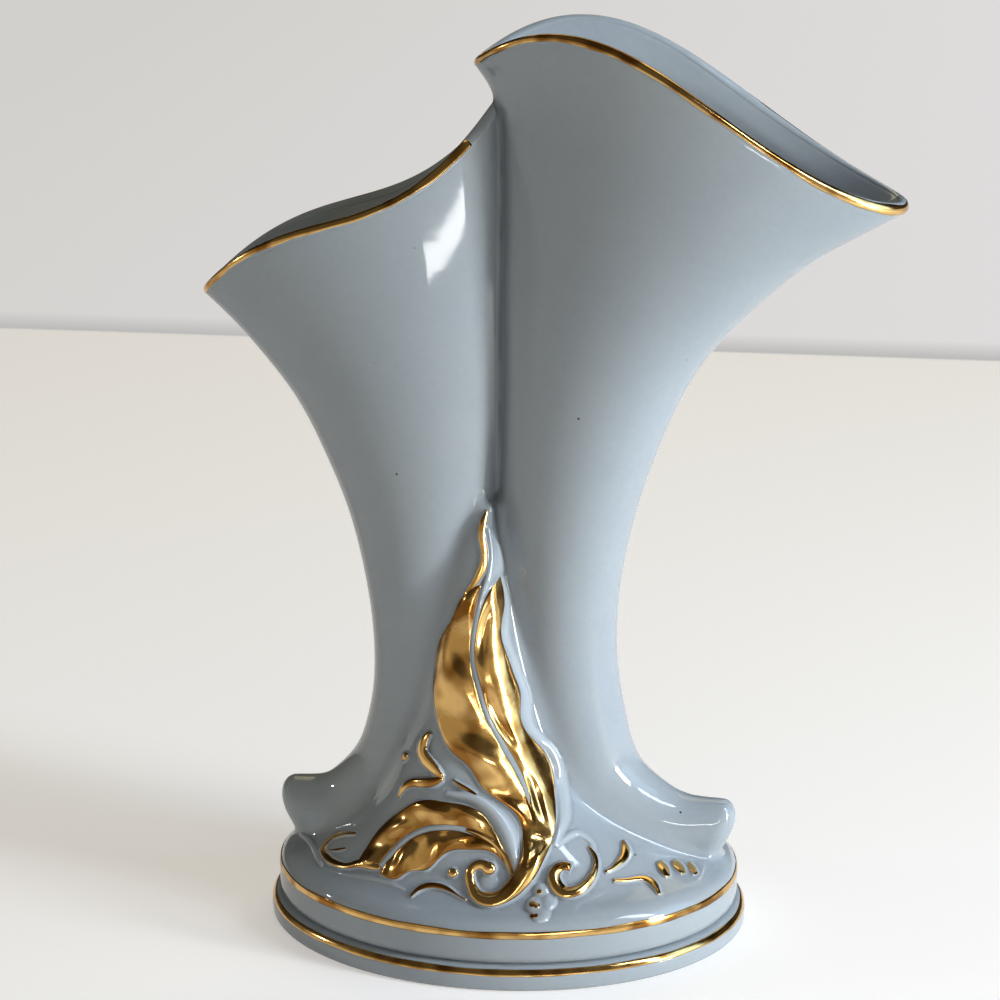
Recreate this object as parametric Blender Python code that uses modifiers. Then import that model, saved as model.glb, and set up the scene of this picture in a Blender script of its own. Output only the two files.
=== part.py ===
"""Double vase: two hollow horns on an oval plinth of two steps, with a gilded acanthus relief.

Metres, +Z up. The origin is the middle of the plinth's underside and the relief faces -Y.
"""
import math

import bmesh
import bpy
import numpy as np
from mathutils import Vector
from mathutils.bvhtree import BVHTree

# Clearances and thin walls
SEAT_GAP = 0.0003
RELIEF_GAP = 0.0004
HORN_WALL = 0.0036
LIP_HALF_WALL = 0.0015
GILT_THICKNESS = 0.0006

# Plinth: an oval of two steps
PLINTH_OVAL = 0.83
LOWER_STEP_HALF_LENGTH = 0.0580
LOWER_STEP_HEIGHT = 0.0058
LOWER_SHOULDER = 0.0028
LOWER_FOOT_EDGE = 0.0012
UPPER_STEP_HALF_LENGTH = 0.0560
UPPER_STEP_HEIGHT = 0.0105
UPPER_SHOULDER = 0.0040
UPPER_FOOT_EDGE = 0.0014
GOLD_LINE_WIDTH = 0.0016
LOWER_LINE_ANGLE = math.radians(36)
UPPER_LINE_ANGLE = math.radians(12)

# Horns: the lips' left and right ends, half depth, and how the lip waves above its chord
TALL_LIP_LEFT = (-0.0084, 0.2084)
TALL_LIP_RIGHT = (0.0920, 0.1772)
TALL_LIP_HALF_DEPTH = 0.0225
TALL_LIP_BOW = 0.0143
TALL_LIP_SWAY = -0.0150
SHORT_LIP_LEFT = (-0.0730, 0.1530)
SHORT_LIP_RIGHT = (-0.0010, 0.1970)
SHORT_LIP_HALF_DEPTH = 0.0160
SHORT_LIP_BOW = -0.0013
SHORT_LIP_SWAY = -0.0089
TAIL_TIP_ROUNDING = 0.0058
CAVITY_FLOOR = 0.0400

# Mesh resolution
OVAL_STEPS = 40
HORN_SIDES = 32
HORN_RINGS = 17
CAVITY_RINGS = 10
LIP_STEPS = 4
MOUND_SIDES = 36
MOUND_RINGS = 12
BLADE_LOOPS = 14
RIDGE_STEP = 0.0024

PLINTH_TOP = LOWER_STEP_HEIGHT + SEAT_GAP + UPPER_STEP_HEIGHT
SEAT = PLINTH_TOP + SEAT_GAP
LIP_REACH = LIP_HALF_WALL + SEAT_GAP + GILT_THICKNESS

# A horn's stations from below its lip to its tail: left x and z, right x and z, half depth, bow, sway, and how
# much thicker its right wall is where it runs into its neighbour
TALL_STATIONS = (
    (-0.0046, 0.2000, 0.0830, 0.1720, 0.0216, 0.0095, -0.0100, 0.0),
    (-0.0040, 0.1880, 0.0720, 0.1655, 0.0206, 0.0060, -0.0065, 0.0),
    (-0.0055, 0.1750, 0.0610, 0.1565, 0.0194, 0.0035, -0.0035, 0.0),
    (-0.0065, 0.1600, 0.0515, 0.1470, 0.0182, 0.0015, -0.0015, 0.0),
    (-0.0060, 0.1430, 0.0435, 0.1360, 0.0168, 0.0, 0.0, 0.0),
    (-0.0045, 0.1210, 0.0350, 0.1170, 0.0153, 0.0, 0.0, 0.0),
    (-0.0020, 0.1000, 0.0295, 0.0985, 0.0138, 0.0, 0.0, 0.0),
    (0.0000, 0.0800, 0.0265, 0.0800, 0.0130, 0.0, 0.0, 0.0),
    (0.0010, 0.0640, 0.0265, 0.0650, 0.0128, 0.0, 0.0, 0.0),
    (0.0025, 0.0480, 0.0286, 0.0520, 0.0128, 0.0, 0.0, 0.0),
    (0.0060, 0.0330, 0.0315, 0.0420, 0.0122, 0.0, 0.0, 0.0),
    (0.0140, 0.0200, 0.0358, 0.0370, 0.0110, 0.0, 0.0, 0.0),
    (0.0260, 0.0150, 0.0410, 0.0334, 0.0096, 0.0, 0.0, 0.0),
    (0.0365, 0.0147, 0.0455, 0.0321, 0.0083, 0.0, 0.0, 0.0),
    (0.0460, 0.0156, 0.0519, 0.0319, 0.0072, 0.0, 0.0, 0.0),
)
SHORT_STATIONS = (
    (-0.0650, 0.1455, 0.0000, 0.1840, 0.0158, -0.0008, -0.0060, 0.0042),
    (-0.0570, 0.1365, 0.0010, 0.1680, 0.0156, -0.0004, -0.0035, 0.0070),
    (-0.0500, 0.1270, 0.0015, 0.1500, 0.0152, 0.0, -0.0015, 0.0075),
    (-0.0437, 0.1145, 0.0015, 0.1300, 0.0146, 0.0, 0.0, 0.0065),
    (-0.0382, 0.1005, 0.0000, 0.1100, 0.0138, 0.0, 0.0, 0.0035),
    (-0.0345, 0.0850, -0.0030, 0.0910, 0.0130, 0.0, 0.0, 0.0),
    (-0.0326, 0.0700, -0.0060, 0.0730, 0.0126, 0.0, 0.0, 0.0),
    (-0.0328, 0.0570, -0.0085, 0.0580, 0.0125, 0.0, 0.0, 0.0),
    (-0.0345, 0.0480, -0.0105, 0.0450, 0.0123, 0.0, 0.0, 0.0),
    (-0.0372, 0.0408, -0.0135, 0.0320, 0.0118, 0.0, 0.0, 0.0),
    (-0.0412, 0.0358, -0.0195, 0.0200, 0.0108, 0.0, 0.0, 0.0),
    (-0.0434, 0.0338, -0.0280, 0.0150, 0.0095, 0.0, 0.0, 0.0),
    (-0.0460, 0.0323, -0.0370, 0.0147, 0.0082, 0.0, 0.0, 0.0),
    (-0.0525, 0.0317, -0.0466, 0.0156, 0.0070, 0.0, 0.0, 0.0),
)

# The mound's level sections: height above the plinth, middle x, half width, half depth
MOUND_STATIONS = (
    (0.0000, 0.0000, 0.0480, 0.0385),
    (0.0040, -0.0010, 0.0425, 0.0358),
    (0.0090, -0.0025, 0.0350, 0.0332),
    (0.0160, -0.0035, 0.0285, 0.0305),
    (0.0260, -0.0040, 0.0230, 0.0274),
    (0.0390, -0.0030, 0.0182, 0.0240),
    (0.0540, -0.0035, 0.0138, 0.0202),
    (0.0690, -0.0040, 0.0094, 0.0163),
    (0.0810, -0.0040, 0.0055, 0.0132),
    (0.0890, -0.0035, 0.0022, 0.0104),
)
MOUND_SQUARENESS = 2.4

# The relief is drawn on a sheet that leans back, and pressed along the sheet's normal on to the ground: a place
# is its x and its height up the sheet
SHEET_LEAN = math.radians(30)
BLADE_EDGE = 0.0005
BLADE_CROWN = 0.0014
BLADE_RIPPLE = 0.0004
VEIN_HEIGHT = 0.0013
RIDGE_EDGE = 0.0003
RIDGE_ROUNDNESS = 0.95
LEAF_GAP = 0.0004
BEAD_FLATNESS = 0.6

# Ridges: places along the middle, each with the ridge's half width there
TALL_VEIN = (
    (-0.0024, 0.0782, 0.0003), (-0.0010, 0.0749, 0.0009), (-0.0021, 0.0690, 0.0007), (-0.0040, 0.0640, 0.0005),
    (-0.0052, 0.0583, 0.0004), (-0.0052, 0.0515, 0.0004), (-0.0037, 0.0459, 0.0005), (-0.0014, 0.0393, 0.0005),
    (0.0019, 0.0339, 0.0005), (0.0050, 0.0292, 0.0005), (0.0072, 0.0254, 0.0004), (0.0093, 0.0199, 0.0003),
    (0.0113, 0.0142, 0.0003),
)
LOW_VEIN = (
    (-0.0255, 0.0039, 0.0005), (-0.0235, 0.0066, 0.0006), (-0.0207, 0.0094, 0.0006), (-0.0163, 0.0121, 0.0005),
    (-0.0114, 0.0131, 0.0005), (-0.0066, 0.0131, 0.0004), (-0.0018, 0.0120, 0.0004), (0.0018, 0.0102, 0.0003),
    (0.0042, 0.0076, 0.0003),
)
TALL_BORDER_HALF_WIDTHS = (0.0002, 0.0005, 0.0008, 0.0009, 0.0011, 0.0011, 0.0012, 0.0014, 0.0014, 0.0006)
RIDGES = {
    "tall_leaf_tendril": (
        (-0.0031, 0.0855, 0.0002), (-0.0039, 0.0826, 0.0006), (-0.0044, 0.0798, 0.0006),
        (-0.0038, 0.0768, 0.0006), (-0.0038, 0.0735, 0.0007), (-0.0050, 0.0706, 0.0005),
    ),
    "tall_leaf_volute": (
        (0.0120, 0.0122, 0.0028), (0.0115, 0.0091, 0.0027), (0.0105, 0.0060, 0.0023), (0.0087, 0.0023, 0.0020),
        (0.0057, -0.0012, 0.0018), (0.0021, -0.0031, 0.0018), (-0.0015, -0.0021, 0.0014),
        (-0.0036, 0.0006, 0.0011), (-0.0039, 0.0034, 0.0008), (-0.0023, 0.0051, 0.0007),
        (-0.0004, 0.0052, 0.0009), (0.0007, 0.0041, 0.0009),
    ),
    "low_leaf_curl": (
        (-0.0288, 0.0042, 0.0008), (-0.0313, 0.0044, 0.0009), (-0.0343, 0.0040, 0.0007),
        (-0.0380, 0.0048, 0.0007), (-0.0411, 0.0068, 0.0008), (-0.0425, 0.0090, 0.0008),
        (-0.0414, 0.0114, 0.0007), (-0.0387, 0.0125, 0.0006), (-0.0337, 0.0123, 0.0003),
    ),
    "right_scroll": (
        (0.0196, 0.0062, 0.0010), (0.0178, 0.0064, 0.0009), (0.0161, 0.0046, 0.0012), (0.0166, 0.0020, 0.0014),
        (0.0185, 0.0003, 0.0014), (0.0208, 0.0005, 0.0013), (0.0231, 0.0022, 0.0010),
        (0.0245, 0.0045, 0.0008), (0.0251, 0.0074, 0.0006), (0.0246, 0.0097, 0.0005),
        (0.0228, 0.0120, 0.0002),
    ),
    "left_sprig_upper": (
        (-0.0150, 0.0351, 0.0004), (-0.0165, 0.0333, 0.0011), (-0.0169, 0.0309, 0.0012),
        (-0.0156, 0.0286, 0.0013), (-0.0138, 0.0269, 0.0008),
    ),
    "left_sprig_lower": (
        (-0.0111, 0.0244, 0.0004), (-0.0132, 0.0236, 0.0010), (-0.0166, 0.0233, 0.0010),
        (-0.0195, 0.0233, 0.0009), (-0.0216, 0.0220, 0.0007), (-0.0225, 0.0202, 0.0003),
    ),
    "foot_sprig": (
        (-0.0172, -0.0033, 0.0003), (-0.0157, -0.0015, 0.0005), (-0.0134, -0.0004, 0.0006),
        (-0.0109, -0.0003, 0.0007), (-0.0085, -0.0009, 0.0007), (-0.0060, -0.0022, 0.0004),
    ),
    "right_sprig_upper": (
        (0.0272, 0.0062, 0.0003), (0.0286, 0.0071, 0.0004), (0.0298, 0.0085, 0.0006),
        (0.0309, 0.0103, 0.0009), (0.0311, 0.0122, 0.0009), (0.0300, 0.0150, 0.0003),
    ),
    "right_sprig_lower": (
        (0.0292, 0.0043, 0.0003), (0.0319, 0.0047, 0.0004), (0.0345, 0.0055, 0.0005),
        (0.0367, 0.0057, 0.0007), (0.0384, 0.0047, 0.0008), (0.0402, 0.0020, 0.0003),
    ),
    "drop_1": ((0.0387, 0.0110, 0.0004), (0.0400, 0.0091, 0.0010), (0.0414, 0.0069, 0.0004)),
    "drop_2": ((0.0418, 0.0118, 0.0004), (0.0432, 0.0102, 0.0010), (0.0447, 0.0084, 0.0004)),
    "drop_3": ((0.0452, 0.0118, 0.0003), (0.0463, 0.0102, 0.0007), (0.0475, 0.0086, 0.0003)),
    "bud": ((0.0127, -0.0010, 0.0007), (0.0129, -0.0034, 0.0017), (0.0133, -0.0059, 0.0009)),
}
# Outer edges of the leaves' blades, from tip to foot
TALL_LEFT_EDGE = (
    (-0.0044, 0.0684), (-0.0085, 0.0651), (-0.0109, 0.0608), (-0.0138, 0.0566), (-0.0149, 0.0517),
    (-0.0148, 0.0432), (-0.0127, 0.0361), (-0.0096, 0.0306), (-0.0049, 0.0271), (-0.0023, 0.0234),
    (0.0025, 0.0199), (0.0063, 0.0172), (0.0080, 0.0138),
)
TALL_RIGHT_EDGE = (
    (0.0001, 0.0714), (0.0012, 0.0656), (0.0010, 0.0606), (0.0011, 0.0574), (0.0026, 0.0533), (0.0044, 0.0489),
    (0.0057, 0.0450), (0.0060, 0.0407), (0.0074, 0.0370), (0.0107, 0.0340), (0.0128, 0.0305),
    (0.0140, 0.0253), (0.0149, 0.0190), (0.0148, 0.0142),
)
LOW_UPPER_EDGE = (
    (-0.0302, 0.0072), (-0.0270, 0.0132), (-0.0219, 0.0168), (-0.0168, 0.0193), (-0.0105, 0.0191),
    (-0.0050, 0.0185), (-0.0008, 0.0164), (0.0022, 0.0123), (0.0046, 0.0078), (0.0060, 0.0044),
)
LOW_LOWER_EDGE = (
    (-0.0256, 0.0020), (-0.0211, 0.0009), (-0.0181, 0.0027), (-0.0142, 0.0031), (-0.0114, 0.0057),
    (-0.0087, 0.0077), (-0.0039, 0.0084), (-0.0004, 0.0085), (0.0025, 0.0075), (0.0048, 0.0050),
)
# Where a blade starts and ends along its vein, as shares of the vein's length, and how many ripples it has
TALL_LEFT_SPAN = (0.16, 1.0, 4)
TALL_RIGHT_SPAN = (0.12, 1.0, 4)
LOW_UPPER_SPAN = (0.0, 1.0, 3)
LOW_LOWER_SPAN = (0.05, 1.0, 3)
BEADS = {"left_bead": (-0.0219, 0.0300, 0.0011), "foot_bead": (-0.0076, 0.0029, 0.0012)}

COLOURS = {
    "glaze": ((0.52, 0.60, 0.68), 0.12, 0.0),
    "gold": ((0.78, 0.50, 0.20), 0.18, 1.0),
}


def material(finish):
    """The Principled material of one finish, made once."""
    found = bpy.data.materials.get(finish)
    if found:
        return found
    colour, roughness, metallic = COLOURS[finish]
    made = bpy.data.materials.new(finish)
    made.use_nodes = True
    made.diffuse_color = (*colour, 1.0)
    shader = made.node_tree.nodes["Principled BSDF"]
    shader.inputs["Base Color"].default_value = (*colour, 1.0)
    shader.inputs["Roughness"].default_value = roughness
    shader.inputs["Metallic"].default_value = metallic
    return made


def collection(name):
    """A collection of that name in the scene."""
    made = bpy.data.collections.new(name)
    bpy.context.scene.collection.children.link(made)
    return made


def new_object(name, vertices, faces, finish, home, edges=()):
    """A smooth-shaded mesh object in the collection home."""
    mesh = bpy.data.meshes.new(name)
    mesh.from_pydata([tuple(v) for v in vertices], list(edges), [tuple(f) for f in faces])
    mesh.materials.append(material(finish))
    if len(faces):
        mesh.shade_smooth()
        mesh.set_sharp_from_angle(angle=math.radians(40))
    made = bpy.data.objects.new(name, mesh)
    home.objects.link(made)
    return made


def hide_cutter(cutter):
    """Marks an object as a tool that only cuts."""
    cutter.hide_render = True
    cutter.display_type = "WIRE"


def cut(piece, cutter):
    """Takes the cutter's solid out of the piece."""
    modifier = piece.modifiers.new("cut_" + cutter.name, "BOOLEAN")
    modifier.operation = "DIFFERENCE"
    modifier.solver = "EXACT"
    modifier.object = cutter


def unit(vectors):
    """Vectors of length one."""
    return vectors / np.linalg.norm(vectors, axis=-1, keepdims=True)


def spline(knots, values, at):
    """Natural cubic spline through the values at the knots, read at the given places."""
    knots, values, at = np.asarray(knots, float), np.asarray(values, float), np.asarray(at, float)
    step = np.diff(knots)
    count = len(knots)
    left = np.eye(count)
    right = np.zeros_like(values)
    for i in range(1, count - 1):
        left[i, i - 1:i + 2] = step[i - 1], 2 * (step[i - 1] + step[i]), step[i]
        right[i] = 6 * ((values[i + 1] - values[i]) / step[i] - (values[i] - values[i - 1]) / step[i - 1])
    bend = np.linalg.solve(left, right)
    i = np.clip(np.searchsorted(knots, at) - 1, 0, count - 2)
    h = step[i][:, None]
    a = (knots[i + 1] - at)[:, None] / h
    b = 1 - a
    return a * values[i] + b * values[i + 1] + ((a**3 - a) * bend[i] + (b**3 - b) * bend[i + 1]) * h * h / 6


def rows_through(stations, count):
    """Rows spaced evenly along a smooth run through the stations."""
    stations = np.asarray(stations, float)
    knots = np.concatenate([[0], np.cumsum(np.linalg.norm(np.diff(stations[:, :4], axis=0), axis=1))])
    return spline(knots, stations, np.linspace(0, knots[-1], count))


def loop_mesh(rings, start, end):
    """Vertices and faces of closed rings joined in order, with a pole vertex at each end, facing outwards."""
    count, sides, _ = rings.shape
    vertices = np.vstack([rings.reshape(-1, 3), start, end])
    first, last = count * sides, count * sides + 1
    faces = []
    for j in range(sides):
        k = (j + 1) % sides
        faces.append((first, k, j))
        faces.append((last, (count - 1) * sides + j, (count - 1) * sides + k))
        faces.extend((i * sides + j, i * sides + k, (i + 1) * sides + k, (i + 1) * sides + j)
                     for i in range(count - 1))
    if enclosed_volume(vertices, faces) < 0:
        faces = [tuple(reversed(face)) for face in faces]
    return vertices, faces


def enclosed_volume(vertices, faces):
    """Signed volume inside the faces, above zero when they face outwards."""
    total = 0.0
    for face in faces:
        origin = vertices[face[0]]
        for a, b in zip(face[1:-1], face[2:]):
            total += np.dot(origin, np.cross(vertices[a], vertices[b]))
    return total / 6


def horn_rings(rows, grow, thicken=0.0):
    """One oval ring for each row, grown by a length; thicken draws the right side in by the row's own amount.

    A ring runs from its left point to its right point, is as deep as the row says, and waves above its chord.
    """
    angle = np.linspace(0, 2 * math.pi, HORN_SIDES, endpoint=False)
    across, through = np.cos(angle), np.sin(angle)
    left, right = rows[:, 0:2], rows[:, 2:4]
    along = unit(right - left)
    left = left - along * grow
    right = right + along * (grow - thicken * rows[:, 7:8])
    middle, half = (left + right) / 2, (right - left) / 2
    wave = (1 - across**2) * (rows[:, 5:6] + rows[:, 6:7] * across)
    x = middle[:, 0:1] + half[:, 0:1] * across
    y = (rows[:, 4:5] + grow) * through
    z = middle[:, 1:2] + half[:, 1:2] * across + wave
    return np.stack([x, y, z], axis=2)


def horn_rows(lip, stations):
    """The rows of a horn from its lip to its tail."""
    return rows_through([lip, *stations], HORN_RINGS)


def tail_end(rings, reach):
    """Rings that round off the tail past the last ring, and the tip itself."""
    last = rings[-1]
    middle = last.mean(axis=0)
    out = unit(middle - rings[-2].mean(axis=0))
    turns = np.radians([24, 46, 64, 79])
    made = [middle + out * reach * math.sin(t) + (last - middle) * math.cos(t) for t in turns]
    return np.array(made), middle + out * reach


def lip_frame(rows, reach):
    """The lip's outer ring, set back by reach from the horn's outermost edge, and the way it points."""
    edge = horn_rings(rows[:1], 0.0)[0]
    below = horn_rings(rows[1:2], 0.0)[0]
    out = unit(edge - below)
    return edge - out * reach, out


def lip_ring(outer, inner, out, turn, radius_more=0.0):
    """A ring round the half-round lip: turn 0 lies on the outside, a quarter turn on the crest."""
    middle, side = (outer + inner) / 2, (outer - inner) / 2
    radius = np.linalg.norm(side, axis=1, keepdims=True)
    side = side / radius
    return middle + (side * math.cos(turn) + out * math.sin(turn)) * (radius + radius_more)


def lip_inner(outer, out):
    """The lip's inner ring: the outer ring moved inwards, square to the way the lip points."""
    inwards = outer.mean(axis=0) - outer
    inwards -= out * np.sum(inwards * out, axis=1, keepdims=True)
    return outer + unit(inwards) * 2 * LIP_HALF_WALL


def build_horn(name, lip, stations, home):
    """A hollow horn: outside from tail to lip, over the round lip, and down the cavity to its floor."""
    rows = horn_rows(lip, stations)
    outer = horn_rings(rows, 0.0)
    tip_rings, tip = tail_end(outer, TAIL_TIP_ROUNDING)
    lip_outer, out = lip_frame(rows, LIP_REACH)
    lip_in = lip_inner(lip_outer, out)
    outside = np.concatenate([tip_rings[::-1], outer[:0:-1], lip_outer[None]])
    lip_turns = np.linspace(0, math.pi, LIP_STEPS + 1)[1:-1]
    over_lip = np.array([lip_ring(lip_outer, lip_in, out, turn) for turn in lip_turns])
    hollow = rows[rows[:, 1:4:2].mean(axis=1) > CAVITY_FLOOR]
    cavity = rows_through(hollow, CAVITY_RINGS)
    cavity = horn_rings(cavity[1:], -HORN_WALL, 1.0)
    floor_rings, floor = tail_end(cavity, HORN_WALL)
    rings = np.concatenate([outside, over_lip, lip_in[None], cavity, floor_rings])
    vertices, faces = loop_mesh(rings, tip, floor)
    return new_object(name, vertices, faces, "glaze", home)


def horn_clearance(name, lip, stations, home):
    """The horn's solid outside, grown by the seat gap, for cutting its neighbours."""
    rows = horn_rows(lip, stations)
    outer = horn_rings(rows, SEAT_GAP)
    tip_rings, tip = tail_end(outer, TAIL_TIP_ROUNDING + SEAT_GAP)
    rings = np.concatenate([tip_rings[::-1], outer[::-1]])
    vertices, faces = loop_mesh(rings, tip, outer[0].mean(axis=0))
    made = new_object(name, vertices, faces, "glaze", home)
    hide_cutter(made)
    return made


def turned_object(name, outline, closed, finish, home):
    """An outline turned round Z and squeezed to the plinth's oval; it runs down its outer side."""
    count = len(outline)
    edges = [(i, i + 1) for i in range(count - 1)] + ([(count - 1, 0)] if closed else [])
    made = new_object(name, [(x, 0.0, z) for x, z in outline], [], finish, home, edges)
    screw = made.modifiers.new("turn", "SCREW")
    screw.axis = "Z"
    screw.steps = screw.render_steps = OVAL_STEPS
    screw.use_merge_vertices = True
    screw.merge_threshold = 0.00001
    weld = made.modifiers.new("axis", "WELD")
    weld.merge_threshold = 0.00001
    made.scale = (1.0, PLINTH_OVAL, 1.0)
    return made


def arc(middle_x, middle_z, radius, start, end, count):
    """Points on an arc, in order from the start angle to the end angle in degrees."""
    turns = np.radians(np.linspace(start, end, count))
    return [(middle_x + radius * math.cos(t), middle_z + radius * math.sin(t)) for t in turns]


def step_outline(half_length, bottom, top, shoulder, foot_edge):
    """A plinth step's outline from the top's middle round the shoulder and foot edge to the bottom's middle."""
    return ([(0.0, top)] + arc(half_length - shoulder, top - shoulder, shoulder, 90, 0, 6)
            + arc(half_length - foot_edge, bottom + foot_edge, foot_edge, 0, -90, 4) + [(0.0, bottom)])


def gold_line(name, half_length, top, shoulder, angle, home):
    """A thin gold band that lies on a step's shoulder."""
    x, z = half_length - shoulder, top - shoulder
    spread = math.degrees(GOLD_LINE_WIDTH / shoulder / 2)
    middle = math.degrees(angle)
    outer = arc(x, z, shoulder + SEAT_GAP + GILT_THICKNESS, middle + spread, middle - spread, 4)
    inner = arc(x, z, shoulder + SEAT_GAP, middle - spread, middle + spread, 3)
    return turned_object(name, outer + inner, True, "gold", home)


def build_plinth(home):
    """The two steps and their gold lines."""
    upper_bottom = LOWER_STEP_HEIGHT + SEAT_GAP
    lower = step_outline(LOWER_STEP_HALF_LENGTH, 0.0, LOWER_STEP_HEIGHT, LOWER_SHOULDER, LOWER_FOOT_EDGE)
    upper = step_outline(UPPER_STEP_HALF_LENGTH, upper_bottom, PLINTH_TOP, UPPER_SHOULDER, UPPER_FOOT_EDGE)
    turned_object("plinth_lower", lower, False, "glaze", home)
    turned_object("plinth_upper", upper, False, "glaze", home)
    gold_line("plinth_lower_gilding", LOWER_STEP_HALF_LENGTH, LOWER_STEP_HEIGHT, LOWER_SHOULDER,
              LOWER_LINE_ANGLE, home)
    gold_line("plinth_upper_gilding", UPPER_STEP_HALF_LENGTH, PLINTH_TOP, UPPER_SHOULDER,
              UPPER_LINE_ANGLE, home)


def build_mound(home):
    """The ground between the horns: level squarish ovals that shrink and lean in as they rise."""
    stations = np.asarray(MOUND_STATIONS)
    rows = spline(stations[:, 0], stations, np.linspace(0, stations[-1, 0], MOUND_RINGS))
    angle = np.linspace(0, 2 * math.pi, MOUND_SIDES, endpoint=False)
    power = 2 / MOUND_SQUARENESS
    across = np.sign(np.cos(angle)) * np.abs(np.cos(angle))**power
    through = np.sign(np.sin(angle)) * np.abs(np.sin(angle))**power
    x = rows[:, 1:2] + rows[:, 2:3] * across
    y = rows[:, 3:4] * through
    z = SEAT + rows[:, 0:1] + 0 * across
    rings = np.stack([x, y, z], axis=2)
    vertices, faces = loop_mesh(rings, rings[0].mean(axis=0), rings[-1].mean(axis=0))
    return new_object("mound", vertices, faces, "glaze", home)


def seat_cutter(home):
    """A block whose top is the level that the horns' tails rest on."""
    bpy.ops.mesh.primitive_cube_add(size=1)
    block = bpy.context.object
    block.name = "seat_cutter"
    depth = 0.030
    block.scale = (4 * LOWER_STEP_HALF_LENGTH, 4 * LOWER_STEP_HALF_LENGTH, depth)
    block.location = (0.0, 0.0, SEAT - depth / 2)
    for other in block.users_collection:
        other.objects.unlink(block)
    home.objects.link(block)
    hide_cutter(block)
    return block


def build_lip_gilding(name, lip, stations, home, ends=None):
    """A thin gold band over the lip; ends gives the x past which the gold stops."""
    rows = horn_rows(lip, stations)
    outer, out = lip_frame(rows, LIP_REACH)
    inner = lip_inner(outer, out)
    turns = np.radians(np.linspace(15, 105, 4))
    top = [lip_ring(outer, inner, out, t, SEAT_GAP + GILT_THICKNESS) for t in turns]
    under = [lip_ring(outer, inner, out, t, SEAT_GAP) for t in turns[::-1]]
    loops = np.array(top + under).transpose(1, 0, 2)
    if ends is None:
        vertices, faces = ring_of_loops(loops)
    else:
        order = np.roll(np.arange(HORN_SIDES), -1)
        loops = loops[order[loops[order, 0, 0] < ends]]
        vertices, faces = loop_mesh(loops, loops[0].mean(axis=0), loops[-1].mean(axis=0))
    return new_object(name, vertices, faces, "gold", home)


def ring_of_loops(loops):
    """Vertices and faces of closed loops joined round into a ring, facing outwards."""
    count, sides, _ = loops.shape
    vertices = loops.reshape(-1, 3)
    faces = []
    for i in range(count):
        n = (i + 1) % count
        for j in range(sides):
            k = (j + 1) % sides
            faces.append((i * sides + j, i * sides + k, n * sides + k, n * sides + j))
    if enclosed_volume(vertices, faces) < 0:
        faces = [tuple(reversed(face)) for face in faces]
    return vertices, faces


class Ground:
    """The surfaces that carry the relief, found along the drawing sheet's normal."""

    normal = Vector((0.0, -math.cos(SHEET_LEAN), math.sin(SHEET_LEAN)))
    up = Vector((0.0, math.sin(SHEET_LEAN), math.cos(SHEET_LEAN)))
    height = 0.2

    def __init__(self, carriers):
        view = bpy.context.evaluated_depsgraph_get()
        vertices, faces = [], []
        for carrier, as_cut in carriers:
            source = carrier.evaluated_get(view) if as_cut else carrier
            base = len(vertices)
            vertices += [carrier.matrix_world @ v.co for v in source.data.vertices]
            faces += [tuple(base + i for i in p.vertices) for p in source.data.polygons]
        self.tree = BVHTree.FromPolygons(vertices, faces)

    def under(self, place):
        """The ground's point and slope under a place on the sheet."""
        start = Vector((place[0], 0.0, 0.0)) + self.up * place[1] + self.normal * self.height
        hit, slope, _, _ = self.tree.ray_cast(start, -self.normal)
        return hit, slope

    def at(self, place, lift=0.0):
        """The point above a place on the sheet: the relief's gap off the ground, and lift more."""
        hit, slope = self.under(place)
        gap = RELIEF_GAP / max(0.35, abs(slope.dot(self.normal)))
        return np.array(hit + self.normal * (gap + lift))


def path_through(places, count):
    """Rows spaced evenly along a smooth path through places, whose first two values are the place."""
    places = np.asarray(places, float)
    knots = np.concatenate([[0], np.cumsum(np.linalg.norm(np.diff(places[:, :2], axis=0), axis=1))])
    return spline(knots, places, np.linspace(0, knots[-1], count))


def sideways(path):
    """Unit vectors on the sheet, to the left of the way a path runs."""
    along = unit(np.gradient(path[:, :2], axis=0))
    return np.stack([-along[:, 1], along[:, 0]], axis=1)


def build_ridge(name, places, finish, ground, home, height=None):
    """A half-round ridge on the ground, as wide as its places say and flat enough below to lie on it."""
    length = np.linalg.norm(np.diff(np.asarray(places)[:, :2], axis=0), axis=1).sum()
    path = path_through(places, max(7, round(length / RIDGE_STEP)))
    side = sideways(path)
    loops = []
    for (x, up, half), away in zip(path, side):
        crown = height or half * RIDGE_ROUNDNESS
        loop = [ground.at((x + away[0] * half * s, up + away[1] * half * s),
                          RIDGE_EDGE + crown * math.sqrt(1 - s * s)) for s in (-1, -0.6, 0, 0.6, 1)]
        loop += [ground.at((x + away[0] * half * s, up + away[1] * half * s)) for s in (1, 0, -1)]
        loops.append(loop)
    loops = np.array(loops)
    vertices, faces = loop_mesh(loops, loops[0].mean(axis=0), loops[-1].mean(axis=0))
    return new_object(name, vertices, faces, finish, home)


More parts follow.
